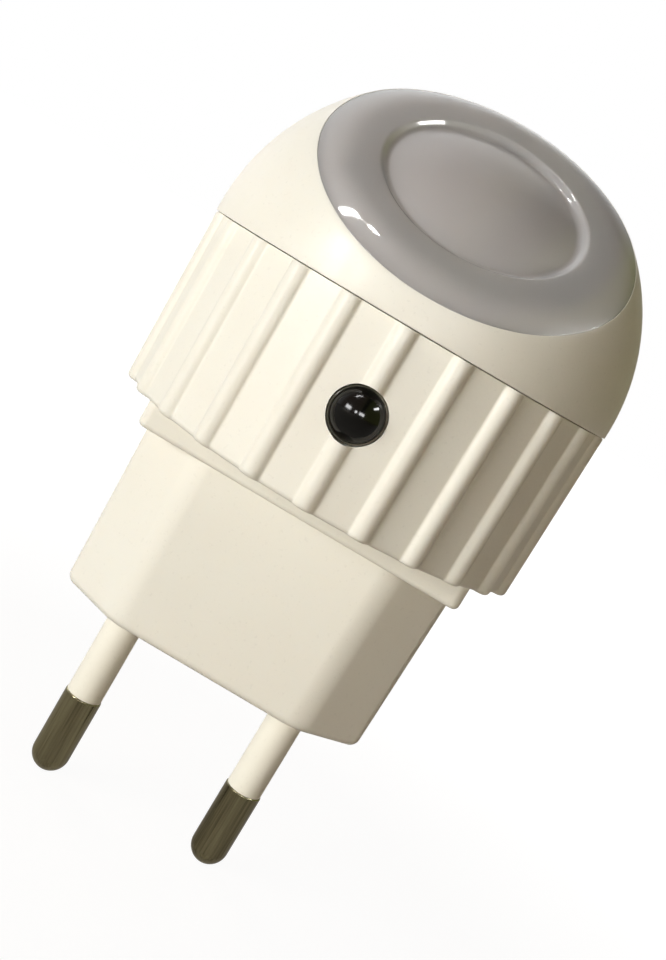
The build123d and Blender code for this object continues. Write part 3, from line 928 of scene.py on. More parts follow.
@dataclass(frozen=True)
class MilkyLens(Finish):
    """Milky translucent plastic, with a painted darker band over its thicker rim that stands in for the shade
    where less light comes through it.
    """

    colour: Triple = (0.54, 0.507, 0.486)
    second: Triple = (0.515, 0.48, 0.458)
    # Painted shade: a darker tone over the thicker rim, between the two radii below.
    shade_band_tone: Triple = (0.51, 0.483, 0.458)
    axis_height: float = 0.04
    tilt: float = 37.8
    shade_band_from: Point = (0.0093, 0.0104)
    shade_band_until: Point = (0.013, 0.0151)
    drift_scale: float = 45.0
    drift: float = 0.4
    grain_size: float = 0.00022
    grain_depth: float = 0.0000004
    roughness: float = 0.36
    spread: float = 0.012
    gloss: float = 0.3
    coat: float = 1.0
    coat_roughness: float = 0.05
    under: float = 0.9
    under_radius: Triple = (1.0, 0.93, 0.88)
    under_scale: float = 0.008
    cloud_scale: float = 120.0
    cloud_low: float = 0.8

    def wire(self, surface: Surface) -> None:
        """Wires the milky body, the painted shade band over its thicker rim and its clear skin.

        Args:
            surface: the material being wired.
        """
        where = surface.where
        lean = math.radians(self.tilt)
        foot = (0.0, -self.axis_height * math.sin(lean), -self.axis_height * math.cos(lean))
        flat = surface.mapped(where, Location=foot, Rotation=(-lean, 0.0, 0.0))
        radius = surface.measure("LENGTH", surface.mapped(flat, Scale=(1.0, 1.0, 0.0)))
        # The band of painted shade over the thicker rim.
        begins = surface.spread(radius, 0.0, 1.0, *self.shade_band_from)
        ends = surface.spread(radius, 1.0, 0.0, *self.shade_band_until)
        cloud = surface.spread(surface.noise(where, self.cloud_scale), self.cloud_low, 1.0)
        rim = surface.times(surface.times(begins, ends), cloud)
        tone = surface.effect(
            Effect.TONE,
            Colour=self.colour,
            Second_Colour=self.second,
            Scale=self.drift_scale,
            Amount=self.drift,
            Fleck_Amount=0.0,
        )
        surface.grain(self.grain_size, self.roughness, self.spread, self.grain_depth)
        surface.fill(
            surface.shader,
            Base_Color=surface.blend(rim, tone.outputs["Colour"], self.shade_band_tone),
            Specular_IOR_Level=self.gloss,
            Coat_Weight=self.coat,
            Coat_Roughness=self.coat_roughness,
            Subsurface_Weight=self.under,
            Subsurface_Radius=self.under_radius,
            Subsurface_Scale=self.under_scale,
        )


FINISHES: dict[str, Finish] = {
    "ivory_plastic": MouldedPlastic(
        "Ivory moulding", (0.81, 0.785, 0.69), (0.795, 0.753, 0.65), gloss=0.4, under=0.08
    ),
    "sleeve_plastic": MouldedPlastic(
        "Pin sleeve", (0.86, 0.83, 0.72), (0.84, 0.8, 0.67), roughness=0.38, grain_depth=0.000002
    ),
    # The plated colour is darkened and streaked beyond the metal's own: partly its drawn lines, partly
    # painted dark reflections of the room.
    "nickel_plated_brass": DrawnMetal(
        "Plated brass with painted dark reflections", (0.335, 0.305, 0.185), (0.155, 0.135, 0.08), roughness=0.17, line_width=0.00018
    ),
    "strip_brass": DrawnMetal("Strip brass", (0.72, 0.56, 0.28), (0.58, 0.44, 0.2)),
    "zinc_steel": DrawnMetal("Zinc plated steel", (0.62, 0.63, 0.66), (0.48, 0.49, 0.52)),
    "spring_steel": DrawnMetal("Blued spring steel", (0.3, 0.32, 0.36), (0.2, 0.21, 0.25)),
    "smoked_plastic": SmokedBead("Smoked bead"),
    "sensor_resin": MouldedPlastic(
        "Sensor lacquer", (0.5, 0.27, 0.1), (0.38, 0.18, 0.06), roughness=0.25, coat=0.4
    ),
    "board_laminate": MouldedPlastic(
        "Board laminate", (0.55, 0.42, 0.22), (0.47, 0.35, 0.17), drift_scale=260.0, flecks=0.3
    ),
    "capacitor_case": MouldedPlastic("Capacitor case", (0.62, 0.44, 0.06), (0.56, 0.38, 0.05), roughness=0.3),
    "capacitor_sleeve": MouldedPlastic(
        "Shrink sleeve", (0.03, 0.035, 0.07), (0.04, 0.045, 0.09), worn_and_lit=(0.1, 0.1, 0.14), roughness=0.25
    ),
    "black_resin": MouldedPlastic(
        "Moulded resin", (0.02, 0.02, 0.021), (0.03, 0.03, 0.03), worn_and_lit=(0.08, 0.08, 0.08), roughness=0.5
    ),
    "resistor_lacquer": MouldedPlastic(
        "Dipped lacquer", (0.3, 0.42, 0.46), (0.25, 0.36, 0.41), roughness=0.3, coat=0.3
    ),
    "reflector_white": MouldedPlastic(
        "Reflector", (0.87, 0.87, 0.85), (0.85, 0.84, 0.81), roughness=0.22, coat=0.2
    ),
    "lamp_laminate": MouldedPlastic(
        "Lamp board", (0.85, 0.85, 0.82), (0.82, 0.82, 0.78), roughness=0.35, drift_scale=260.0
    ),
    "lamp_phosphor": MouldedPlastic(
        "Phosphor gel", (0.87, 0.68, 0.12), (0.82, 0.58, 0.08), roughness=0.2, coat=0.5
    ),
    "wire_insulation": MouldedPlastic(
        "Wire insulation", (0.5, 0.05, 0.04), (0.42, 0.04, 0.03), roughness=0.5
    ),
    "inner_plastic": MouldedPlastic("Inner moulding", (0.8, 0.78, 0.7), (0.76, 0.73, 0.64)),
    "washer_plastic": MouldedPlastic("Washer", (0.86, 0.85, 0.8), (0.82, 0.8, 0.73), roughness=0.35),
    "milky_diffuser": MilkyLens("Milky lens"),
}


class Paintbox:
    """Makes each finish once and puts it on the pieces that take it."""

    def __init__(self, slots: dict[str, str]) -> None:
        """Keeps the record's slot of each node, and builds the shared effects.

        Args:
            slots: the material slot of each node.
        """
        self.slots = slots
        makers = (tone_drift, edge_wear_and_highlight, mould_grain, drawn_lines)
        self.effects = {effect: make() for effect, make in zip(Effect, makers)}
        self.made: dict[str, bpy.types.Material] = {}

    def dress(self, obj: Obj, slot: str) -> None:
        """Gives an object the material of a slot and nothing else.

        Args:
            obj: the object.
            slot: the material slot.
        """
        if slot not in self.made:
            self.made[slot] = FINISHES[slot].material(self.effects)
        obj.data.materials.clear()
        obj.data.materials.append(self.made[slot])

    def dress_nodes(self, nodes: dict[str, Obj], replaced: set[str]) -> None:
        """Dresses every CAD node that is still shown.

        Args:
            nodes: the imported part's nodes.
            replaced: names of nodes that modelled pieces stand for.
        """
        for name, obj in nodes.items():
            if name not in replaced:
                self.dress(obj, self.slots[name])
                LOG.info("node %s: %s", name, self.slots[name])


@dataclass
class SubAssembly:
    """A group of modelled pieces that rides on one body.

    Sizes are in millimetres and angles in degrees.
    """

    paintbox: Paintbox
    body: Body = Body.HOUSING
    replaced: set[str] = field(default_factory=set)

    def install(self, obj: Obj, node: str, angle: float = 32.0) -> None:
        """Shades and dresses a piece, and lets it stand for its CAD node.

        Args:
            obj: the finished piece, in place.
            node: the CAD node that it stands for.
            angle: edges sharper than this, in degrees, stay sharp.
        """
        smooth(obj, angle)
        slot = self.paintbox.slots[node]
        self.paintbox.dress(obj, slot)
        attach(obj, self.body.value)
        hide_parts(node)
        self.replaced.add(node)
        LOG.info("piece %s: %d faces", obj.name, len(obj.data.polygons))


# ---------------------------------------------------------------- the plug


@dataclass
class PlugBlock(SubAssembly):
    """The six-sided plug body, the flange above it and the hollow inside."""

    half_width: float = 16.85
    half_width_top: float = 17.25
    half_depth: float = 6.85
    front_half: float = 10.5
    side_half: float = 1.7
    height: float = 18.3
    front_rounding: float = 4.0
    front_share: float = 0.9
    side_rounding: float = 1.5
    edge_rounding: float = 0.95
    flange: Triple = (35.2, 15.2, 3.25)
    flange_corner: float = 1.0
    flange_edge: float = 0.55
    sink: float = 0.4
    floor: float = 3.0
    cavity: Four = (13.0, 5.25, 9.7, 2.825)
    spigot_wall: float = 1.1
    spigot_height: float = 3.0
    pin_x: float = 9.5
    sleeve_hole: float = 1.92
    sleeve_root: float = 2.02
    pin_hole: float = 1.52
    boss: float = 3.2
    boss_top: float = 7.0
    screw_x: float = 15.85
    screw_hole: float = 0.95
    screw_depth: float = 8.0

    def round_uprights(self, obj: Obj) -> None:
        """Rounds the upright corners: softly at the front and back, tighter at the sides.

        Args:
            obj: the plug body.
        """
        turn = math.atan2(self.half_depth - self.side_half, self.half_width - self.front_half)
        limit = self.half_depth * self.front_share
        with editing(obj, Kind.EDGES):
            pick(obj, Kind.EDGES, lambda at, way: upright(way) and abs(at.y) > limit)
            round_selected(self.front_rounding * math.tan(turn / 2), 12)
            pick(obj, Kind.EDGES, lambda at, way: upright(way) and abs(at.x) > self.half_width - NEAR)
            round_selected(self.side_rounding * math.tan((math.pi / 2 - turn) / 2), 6)

    def build(self) -> None:
        """Models the block and installs it."""
        shape = (self.half_width, self.half_depth, self.front_half, self.side_half)
        obj = prism("plug_body", shape, 0, self.height + self.sink)
        self.round_uprights(obj)
        with editing(obj, Kind.EDGES):
            pick(obj, Kind.EDGES, lambda at, way: at.z < NEAR and level(way))
            round_selected(self.edge_rounding, 6)
            pick(obj, Kind.POINTS, lambda at, _: at.z > self.height)
            scale_selected((self.half_width_top / self.half_width, 1, 1))
        combine(obj, self.build_flange(), "UNION")
        top = self.height + self.flange[2]
        ring = tuple(size + self.spigot_wall for size in self.cavity)
        combine(obj, prism("spigot", ring, top - self.sink, top + self.spigot_height), "UNION")
        cavity = prism("cavity", self.cavity, self.floor, top + 2 * self.spigot_height)
        combine(obj, cavity, "DIFFERENCE")
        for side in (-1, 1):
            self.fit_pin(obj, side * self.pin_x)
            at = (side * self.screw_x, 0)
            hole = rod("screw hole", self.screw_hole, top - self.screw_depth, top + PAST, 32, at)
            combine(obj, hole, "DIFFERENCE")
        self.install(obj, "plug_block", angle=28.0)

    def fit_pin(self, obj: Obj, x: float) -> None:
        """Adds the boss that a pin stands in, and cuts its hole and the sleeve's.

        Args:
            obj: the hollow block.
            x: the pin's place.
        """
        combine(obj, rod("boss", self.boss, self.floor - OVERLAP, self.boss_top, 48, (x, 0)), "UNION")
        section = [(0, -PAST), (self.sleeve_hole, -PAST), (self.sleeve_hole, self.sleeve_root)]
        section += [(self.pin_hole, self.sleeve_root), (self.pin_hole, self.boss_top + PAST)]
        hole = lathe("pin hole", [*section, (0, self.boss_top + PAST)], 72, closed=False)
        place(hole, shift_by(x, 0, 0))
        combine(obj, hole, "DIFFERENCE")

    def build_flange(self) -> Obj:
        """The lip above the block: a plate with rounded corners and softened edges.

        Returns:
            The plate, ready to be added to the block.
        """
        obj = box("flange", self.flange, self.height)
        with editing(obj, Kind.EDGES):
            pick(obj, Kind.EDGES, lambda _, way: upright(way))
            round_selected(self.flange_corner, 8)
            pick(obj, Kind.EDGES, lambda at, way: at.z < self.height + NEAR and level(way))
            round_selected(self.flange_edge, 4)
        return obj


@dataclass
class Pins(SubAssembly):
    """The two plug pins with their insulating sleeves."""

    spacing: float = 19.0
    radius: float = 2.0
    length: float = 19.0
    core: float = 1.5
    shoulder_rounding: float = 0.12
    head: float = 2.3
    head_level: float = 7.4
    head_thickness: float = 0.8
    head_rounding: Point = (0.1, 0.35)
    sleeve_radius: float = 1.9
    sleeve_length: float = 10.0
    sleeve_root: float = 2.0
    sleeve_rounding: float = 0.05
    fit: float = 0.02
    seat: float = 0.005

    def pin_section(self) -> list[Point]:
        """The section of a pin from its round tip to its riveted head.

        Returns:
            The points of the section.
        """
        end = -self.length + self.radius
        top = self.head_level + self.head_thickness
        under, over = self.head_rounding
        shoulder = [
            (self.radius, end, 0),
            (self.radius, -self.sleeve_length, self.shoulder_rounding),
            (self.core, -self.sleeve_length, 0),
            (self.core, self.head_level, 0),
        ]
        head = [
            (self.core, self.head_level, 0),
            (self.head, self.head_level, under),
            (self.head, top, over),
            (0, top, 0),
        ]
        return arc(self.radius, end, 180, 90, 14) + rounded(shoulder, 3)[1:] + rounded(head, 4)[1:]

    def sleeve_section(self) -> list[Point]:
        """The section of a sleeve, with a soft lower lip.

        Returns:
            The points of the section.
        """
        inner, outer = self.core + self.fit, self.sleeve_radius
        low, top = -self.sleeve_length + self.seat, self.sleeve_root
        corners = [(inner, top, 0), (inner, low, 0), (outer, low, self.sleeve_rounding), (outer, top, 0)]
        return rounded(corners, 4)

    def build(self) -> None:
        """Models both pins and both sleeves."""
        for side, x in (("left", -self.spacing / 2), ("right", self.spacing / 2)):
            pin = lathe(f"{side}_metal_pin", self.pin_section(), 72, closed=False)
            place(pin, shift_by(x, 0, 0))
            self.install(pin, f"{side}_pin")
            sleeve = lathe(f"{side}_sleeve", self.sleeve_section(), 72)
            place(sleeve, shift_by(x, 0, 0))
            self.install(sleeve, f"{side}_pin_sleeve")


# ---------------------------------------------------------------- the barrel


@dataclass
class Barrel(SubAssembly):
    """The ribbed barrel, with the hole that shows the sensor."""

    bottom: float = 21.55
    top: float = 39.3
    crest: float = 21.75
    rib_height: float = 0.75
    rib_half: float = 1.0
    rib_root: float = 0.35
    ribs: int = 24
    draft: float = 0.15
    edge_rounding: float = 0.5
    edge_steps: int = 6
    wall_steps: int = 8
    top_rounding: float = 0.1
    top_break: float = 0.3
    panel_parts: Triple = (0.33, 0.66, 1.0)
    inner: float = 19.0
    rebate: float = 19.5
    rebate_level: float = 36.9
    groove: float = 0.2
    groove_rise: float = 0.4
    groove_width: float = 0.7
    floor_top: float = 23.15
    hole_radius: float = 2.68
    seat_radius: float = 3.5
    socket_radius: float = 4.3
    seat_level: float = 18.3
    seat_depth: float = 2.0
    sensor_height: float = 30.8
    opening: Four = (14.2, 6.45, 10.9, 4.0)
    post_circle: float = 14.2
    post_angles: Four = (45.0, 135.0, 225.0, 315.0)
    post_radius: float = 2.1
    post_top: float = 26.0
    screw_x: float = 15.85
    screw_hole: float = 1.0

    def half_sector(self) -> list[Point]:
        """Half a rib, its root and half a panel, as (across, out), from the rib's crest.

        Returns:
            The points in millimetres.
        """
        lean = math.pi / self.ribs
        flat = self.crest - self.rib_height
        outward = Vector((math.sin(lean), math.cos(lean)))
        along = Vector((math.cos(lean), -math.sin(lean)))
        foot = flat / math.cos(lean) - self.rib_half * math.tan(lean)
        rise = self.crest - foot
        bow = (self.rib_half**2 + rise**2) / (2 * rise)
        centre = Vector((0, self.crest - bow))
        lift = flat + self.rib_root - centre.dot(outward)
        root = centre + outward * lift
        root += along * math.sqrt((bow + self.rib_root) ** 2 - lift**2)
        touch = math.atan2(root.y - centre.y, root.x - centre.x)
        floor = math.atan2(-outward.y, -outward.x) + math.tau
        points = []
        for middle, radius, start, end, first, steps in (
            (centre, bow, math.pi / 2, touch, 0, 8),
            (root, self.rib_root, touch + math.pi, floor, 1, 5),
        ):
            for step in range(first, steps + 1):
                angle = start + (end - start) * step / steps
                points.append(middle + Vector((math.cos(angle), math.sin(angle))) * radius)
        points += [points[-1].lerp(outward * flat, part) for part in self.panel_parts]
        return [(point.x, point.y) for point in points]

    def outline(self) -> Obj:
        """Draws one rib with the panel halves beside it, and repeats it round the axis.

        Returns:
            The closed outline, at the level of the barrel's underside.
        """
        half = self.half_sector()
        drawn = [(-x, -y, self.bottom) for x, y in reversed(half[1:])]
        obj = draw("ribbed_shell", drawn + [(x, -y, self.bottom) for x, y in half])
        with editing(obj):
            pick_all()
            bpy.ops.mesh.spin(
                steps=self.ribs, dupli=True, angle=math.tau, center=(0, 0, 0), axis=(0, 0, 1)
            )
            pick_all()
            bpy.ops.mesh.remove_doubles(threshold=RIB_WELD)
        return obj

    def rings(self) -> list[Point]:
        """The levels of the wall with the crest's radius at each, from below.

        Returns:
            Points of (radius, level).
        """
        low = self.crest - self.draft
        points = []
        for step in range(self.edge_steps + 1):
            angle = math.pi / 2 * step / self.edge_steps
            radius = low - self.edge_rounding * (1 - math.sin(angle))
            points.append((radius, self.bottom + self.edge_rounding * (1 - math.cos(angle))))
        start, end = self.bottom + self.edge_rounding, self.top - self.top_rounding
        for step in range(1, self.wall_steps + 1):
            share = step / self.wall_steps
            points.append((low + self.draft * share, start + (end - start) * share))
        near_top = self.top_rounding * self.top_break
        points.append((self.crest - near_top, self.top - near_top))
        points.append((self.crest - self.top_rounding, self.top))
        return points

    def build(self) -> None:
        """Models the barrel and installs it."""
        obj = self.outline()
        rings = self.rings()
        with editing(obj, Kind.EDGES):
            pick_all()
            scale_selected((rings[0][0] / self.crest, rings[0][0] / self.crest, 1))
            bpy.ops.mesh.edge_face_add()
            for before, after in zip(rings, rings[1:]):
                rise = (0, 0, (after[1] - before[1]) * MM)
                bpy.ops.mesh.extrude_region_move(TRANSFORM_OT_translate={"value": rise})
                scale_selected((after[0] / before[0], after[0] / before[0], 1))
            pick_all()
            bpy.ops.mesh.normals_make_consistent(inside=False)
        self.hollow(obj)
        self.fit_inside(obj)
        self.cut_holes(obj)
        self.install(obj, "ribbed_barrel", angle=38.0)

    def hollow(self, obj: Obj) -> None:
        """Turns out the inside, with the rebate and the groove that the deck snaps into.

        Args:
            obj: the solid barrel.
        """
        low = self.rebate_level + self.groove_rise
        high = low + self.groove_width
        levels = (
            (self.inner, self.floor_top, self.rebate_level),
            (self.rebate, self.rebate_level, low),
            (self.rebate + self.groove, low, high),
            (self.rebate, high, self.top + PAST),
        )
        section = [point for radius, start, end in levels for point in ((radius, start), (radius, end))]
        section = [(0, self.floor_top), *section, (0, self.top + PAST)]
        combine(obj, lathe("barrel cavity", section, 144, closed=False), "DIFFERENCE")

    def fit_inside(self, obj: Obj) -> None:
        """Adds the posts under the driver board and the socket behind the sensor's hole.

        Args:
            obj: the hollow barrel.
        """
        for angle in self.post_angles:
            spot = on_circle(self.post_circle, angle)
            post = rod("board post", self.post_radius, self.floor_top - OVERLAP, self.post_top, 40, spot)
            combine(obj, post, "UNION")
        back = self.seat_level - self.seat_depth
        socket = rod("socket", self.socket_radius, back, self.inner + OVERLAP, 64)
        place(socket, facing_front(self.sensor_height))
        combine(obj, socket, "UNION")

    def cut_holes(self, obj: Obj) -> None:
        """Cuts the sensor's hole, the seat behind it, the opening in the floor and screw holes.

        Args:
            obj: the barrel.
        """
        back = self.seat_level - self.seat_depth - PAST
        section = [(0, back), (self.seat_radius, back), (self.seat_radius, self.seat_level)]
        section += [(self.hole_radius, self.seat_level), (self.hole_radius, self.crest + PAST)]
        hole = lathe("sensor hole", [*section, (0, self.crest + PAST)], 64, closed=False)
        place(hole, facing_front(self.sensor_height))
        combine(obj, hole, "DIFFERENCE")
        low, high = self.bottom - PAST, self.floor_top + PAST
        combine(obj, prism("floor opening", self.opening, low, high), "DIFFERENCE")
        for side in (-1, 1):
            hole = rod("screw hole", self.screw_hole, low, high, 32, (side * self.screw_x, 0))
            combine(obj, hole, "DIFFERENCE")


@dataclass
class Sensor(SubAssembly):
    """The smoked bead that sits in the barrel's front."""

    stem: float = 2.6
    radius: float = 2.42
    flange_radius: float = 3.4
    flange_rounding: float = 0.15
    back: float = 17.3
    seat: float = 18.3
    collar: float = 20.62
    shoulder: float = 20.7
    dome: float = 1.65
    height: float = 30.8
    collar_rounding: float = 0.06
    lip: float = 0.04
    lip_rounding: float = 0.02

    def build(self) -> None:
        """Models the bead and installs it."""
        ball = (self.radius**2 + self.dome**2) / (2 * self.dome)
        edge = math.degrees(math.asin(self.radius / ball))
        cap = arc(ball, self.shoulder + self.dome - ball, edge, 0, 20)
        corners = [
            (0, self.back, 0),
            (self.flange_radius, self.back, self.flange_rounding),
            (self.flange_radius, self.seat, self.flange_rounding),
            (self.stem, self.seat, 0),
            (self.stem, self.collar, self.collar_rounding),
            (self.radius + self.lip, self.shoulder, self.lip_rounding),
            (*cap[0], 0),
        ]
        obj = lathe("sensor_bead", rounded(corners, 3) + cap[1:], 96, closed=False)
        place(obj, facing_front(self.height))
        self.install(obj, "sensor_window", angle=50.0)


# ---------------------------------------------------------------- the head


@dataclass
class Head(SubAssembly):
    """The dome and the slanted lens in it.

    A post is (inner radius, outer radius, low level, high level); the lens and its posts are measured
    along the slanted axis from the centre of the dome.
    """

    body: Body = Body.HEAD
    radius: float = 21.75
    wall: float = 1.8
    centre: float = 40.0
    skirt: float = 39.38
    tilt: float = 37.8
    opening: float = 15.75
    opening_plane: float = 15.0
    ledge_plane: float = 13.4
    opening_edge: float = 0.12
    opening_reach: Point = (0.02, 0.05)
    skirt_edge: float = 0.1
    skirt_rim: float = 0.3
    lowest_angle: float = 140.0
    post: Four = (0.95, 2.2, 40.75, 46.1)
    post_circle: float = 17.2
    post_angles: Triple = (90.0, 200.0, 340.0)
    lens_crown: float = 16.95
    lens_dome: float = 33.0
    lens_dome_edge: float = 14.0
    lens_rim: tuple[Triple, ...] = (
        (9.55, 15.5, 0.8),
        (10.25, 16.07, 0.5),
        (14.09, 15.87, 7.8),
        (15.74, 14.94, 0.08),
        (15.74, 13.45, 0),
    )
    lens_inside: tuple[Triple, ...] = (
        (15.74, 13.45, 0),
        (14.5, 13.45, 0),
        (14.5, 12.4, 0),
        (13.3, 12.4, 0),
        (13.3, 14.5, 0.5),
        (11.1, 15.45, 1.2),
        (9.3, 13.9, 1.2),
        (5.0, 14.9, 8.0),
        (0, 15.3, 0),
    )
    lens_post: Four = (0.75, 1.9, 12.2, 15.2)
    lens_post_circle: float = 11.3
    lens_post_angles: Triple = (90.0, 210.0, 330.0)

    def on_lens_axis(self) -> Matrix:
        """Carries a shape made about Z to the slanted axis of the lens."""
        return shift_by(0, 0, self.centre) @ Matrix.Rotation(math.radians(self.tilt), 4, "X")

    def build(self) -> None:
        """Models both pieces and installs them."""
        self.build_dome()
        self.build_lens()

    @staticmethod
    def add_posts(obj: Obj, post: Four, circle: float, angles: Sequence[float]) -> None:
        """Joins screw posts to a piece.

        Args:
            obj: the piece.
            post: inner radius, outer radius, low level and high level.
            circle: the radius of the circle that they stand on.
            angles: where they stand on it, in degrees.
        """
        inner, outer, low, high = post
        spots = [on_circle(circle, angle) for angle in angles]
        join(obj, [rod("post", outer, low, high, 32, spot, inner) for spot in spots])

    def build_dome(self) -> None:
        """The dome: turned about the lens axis, then cut level at the seam."""
        inner = self.radius - self.wall
        edge = math.degrees(math.asin(self.opening / self.radius))
        ledge = math.degrees(math.acos(self.ledge_plane / inner))
        outside = arc(self.radius, 0, self.lowest_angle, edge, 54)
        inside = arc(inner, 0, ledge, self.lowest_angle, 50)
        obj = lathe("dome", outside + [(self.opening, self.ledge_plane)] + inside, 180, closed=False)
        place(obj, self.on_lens_axis())
        self.cut_skirt(obj)
        self.round_dome(obj)
        self.add_posts(obj, self.post, self.post_circle, self.post_angles)
        self.install(obj, "dome_shell", angle=35.0)

    def cut_skirt(self, obj: Obj) -> None:
        """Cuts the dome off level above the seam and closes its wall there.

        Args:
            obj: the turned dome, in place.
        """
        with editing(obj, Kind.EDGES):
            pick_all()
            bpy.ops.mesh.bisect(
                plane_co=(0, 0, self.skirt * MM), plane_no=(0, 0, 1), clear_inner=True, threshold=1e-7
            )
            pick(obj, Kind.POINTS, lambda at, _: at.z < self.skirt + HAIR)
            bpy.ops.mesh.select_mode(type="EDGE")
            bpy.ops.mesh.bridge_edge_loops()
            pick_all()
            bpy.ops.mesh.normals_make_consistent(inside=False)

    def round_dome(self, obj: Obj) -> None:
        """Softens the outer edge of the lens opening and that of the skirt.

        Args:
            obj: the dome.
        """
        axis = self.on_lens_axis().to_3x3() @ Vector((0, 0, 1))
        middle = Vector((0, 0, self.centre))

        def at_opening(at: Vector, _: Vector) -> bool:
            """Tests for the opening's outer edge.

            Args:
                at: an edge's middle in millimetres.

            Returns:
                Whether it lies on the edge.
            """
            along = (at - middle).dot(axis)
            away = ((at - middle) - axis * along).length
            off_plane, off_circle = abs(along - self.opening_plane), abs(away - self.opening)
            return off_plane < self.opening_reach[0] and off_circle < self.opening_reach[1]

        def at_skirt(at: Vector, way: Vector) -> bool:
            """Tests for the skirt's outer edge."""
            outer = math.hypot(at.x, at.y) > self.radius - self.skirt_rim
            return outer and level(way) and at.z < self.skirt + HAIR

        with editing(obj, Kind.EDGES):
            for test, size in ((at_opening, self.opening_edge), (at_skirt, self.skirt_edge)):
                LOG.info("%s: %d edges", test.__name__, pick(obj, Kind.EDGES, test))
                round_selected(size, 3)

    def build_lens(self) -> None:
        """The lens: a wide rounded rim round a shallow groove and a gently domed middle."""
        middle = arc(self.lens_dome, self.lens_crown - self.lens_dome, 0, self.lens_dome_edge, 24)
        rim = rounded([(*middle[-1], 0), *self.lens_rim], 10)
        inside = rounded(self.lens_inside, 5)
        obj = lathe("lens_cover", middle + rim[1:] + inside[1:], 180, closed=False)
        self.add_posts(obj, self.lens_post, self.lens_post_circle, self.lens_post_angles)
        place(obj, self.on_lens_axis())
        self.install(obj, "lens", angle=40.0)


# ---------------------------------------------------------------- the studio


@dataclass
class Viewpoint:
    """The camera: where it stands, in metres, and how it is turned, in degrees."""

    place: Triple = (0.0, -0.13657, 0.04101)
    down: float = 7.84
    aside: float = 0.51
    roll: float = 30.66
    lens: float = 52.02
    sensor: float = 36.0
    reach: Point = (0.005, 20.0)

    def build(self) -> None:
        """Sets up the scene's camera."""
        down, aside, roll = (math.radians(angle) for angle in (self.down, self.aside, self.roll))
        ahead = Vector(
            (math.sin(aside) * math.cos(down), math.cos(aside) * math.cos(down), -math.sin(down))
        )
        right = Vector((math.cos(aside), -math.sin(aside), 0))
        upward = right.cross(ahead)
        across = right * math.cos(roll) + upward * math.sin(roll)
        over = upward * math.cos(roll) - right * math.sin(roll)
        turn = Matrix((across, over, -ahead)).transposed().to_4x4()
        data = bpy.data.cameras.new("camera")
        data.lens = self.lens
        data.sensor_width = self.sensor
        data.clip_start, data.clip_end = self.reach
        camera = bpy.data.objects.new("camera", data)
        camera.matrix_world = Matrix.Translation(self.place) @ turn
        bpy.context.scene.collection.objects.link(camera)
        bpy.context.scene.camera = camera


@dataclass(frozen=True)
class Lamp:
    """A rectangular lamp that faces a point, given in millimetres, from a direction.

    Its angles are in degrees, its distance and size in metres and its power in watts.
    """

    name: str
    azimuth: float
    elevation: float
    distance: float
    size: Point
    power: float
    colour: Triple = WHITE
    aim: Triple = (0.0, 0.0, 22.0)
    lights: bool = True

    def build(self) -> None:
        """Hangs the lamp: one that lights shows in no reflection, and one that shines lights nothing."""
        azimuth, elevation = math.radians(self.azimuth), math.radians(self.elevation)
        flat = math.cos(elevation)
        way = Vector((math.sin(azimuth) * flat, -math.cos(azimuth) * flat, math.sin(elevation)))
        data = bpy.data.lights.new(self.name, "AREA")
        data.shape = "RECTANGLE"
        data.size, data.size_y = self.size
        data.energy = self.power
        data.color = self.colour
        lamp = bpy.data.objects.new(self.name, data)
        lamp.location = Vector(self.aim) * MM + way * self.distance
        lamp.rotation_mode = "QUATERNION"
        lamp.rotation_quaternion = way.to_track_quat("Z", "Y")
        lamp.visible_camera = False
        lamp.visible_diffuse = self.lights
        lamp.visible_glossy = not self.lights
        bpy.context.scene.collection.objects.link(lamp)


BEAD = (0, -21, 30.8)
FAR_RING = (-8.5, -6, 55.5)
LAMPS = (
    Lamp("soft key", -45, 3, 0.7, (0.45, 0.26), 5.9),
    Lamp("low strip", 8, -2.4, 0.6, (0.6, 0.026), 0.62, (1.0, 0.94, 0.82)),
    Lamp("warm side", 50, 3, 0.7, (0.4, 0.26), 0.28, (1.0, 0.76, 0.48)),
    Lamp("back right", 163, 4, 0.7, (0.4, 0.3), 1.0, (1.0, 0.82, 0.62)),
    Lamp("back left", -135, 8, 0.7, (0.4, 0.3), 1.6),
    Lamp("window one", -60, 59, 0.6, (0.035, 0.15), 0.56, lights=False),
    Lamp("window two", -49, 69, 0.6, (0.034, 0.04), 0.17, lights=False),
    Lamp("side pane", -146, 30, 0.6, (0.12, 0.05), 0.12, lights=False),
    Lamp("far window", 80, 44, 0.6, (0.3, 0.06), 1.9, aim=FAR_RING, lights=False),
    Lamp("bead pane one", -45, 11, 0.25, (0.1, 0.05), 0.42, aim=BEAD, lights=False),
    Lamp("bead pane two", -10, 10, 0.25, (0.035, 0.035), 0.12, aim=BEAD, lights=False),
    Lamp("bead pane three", 14, 12, 0.25, (0.09, 0.045), 0.3, aim=BEAD, lights=False),
)


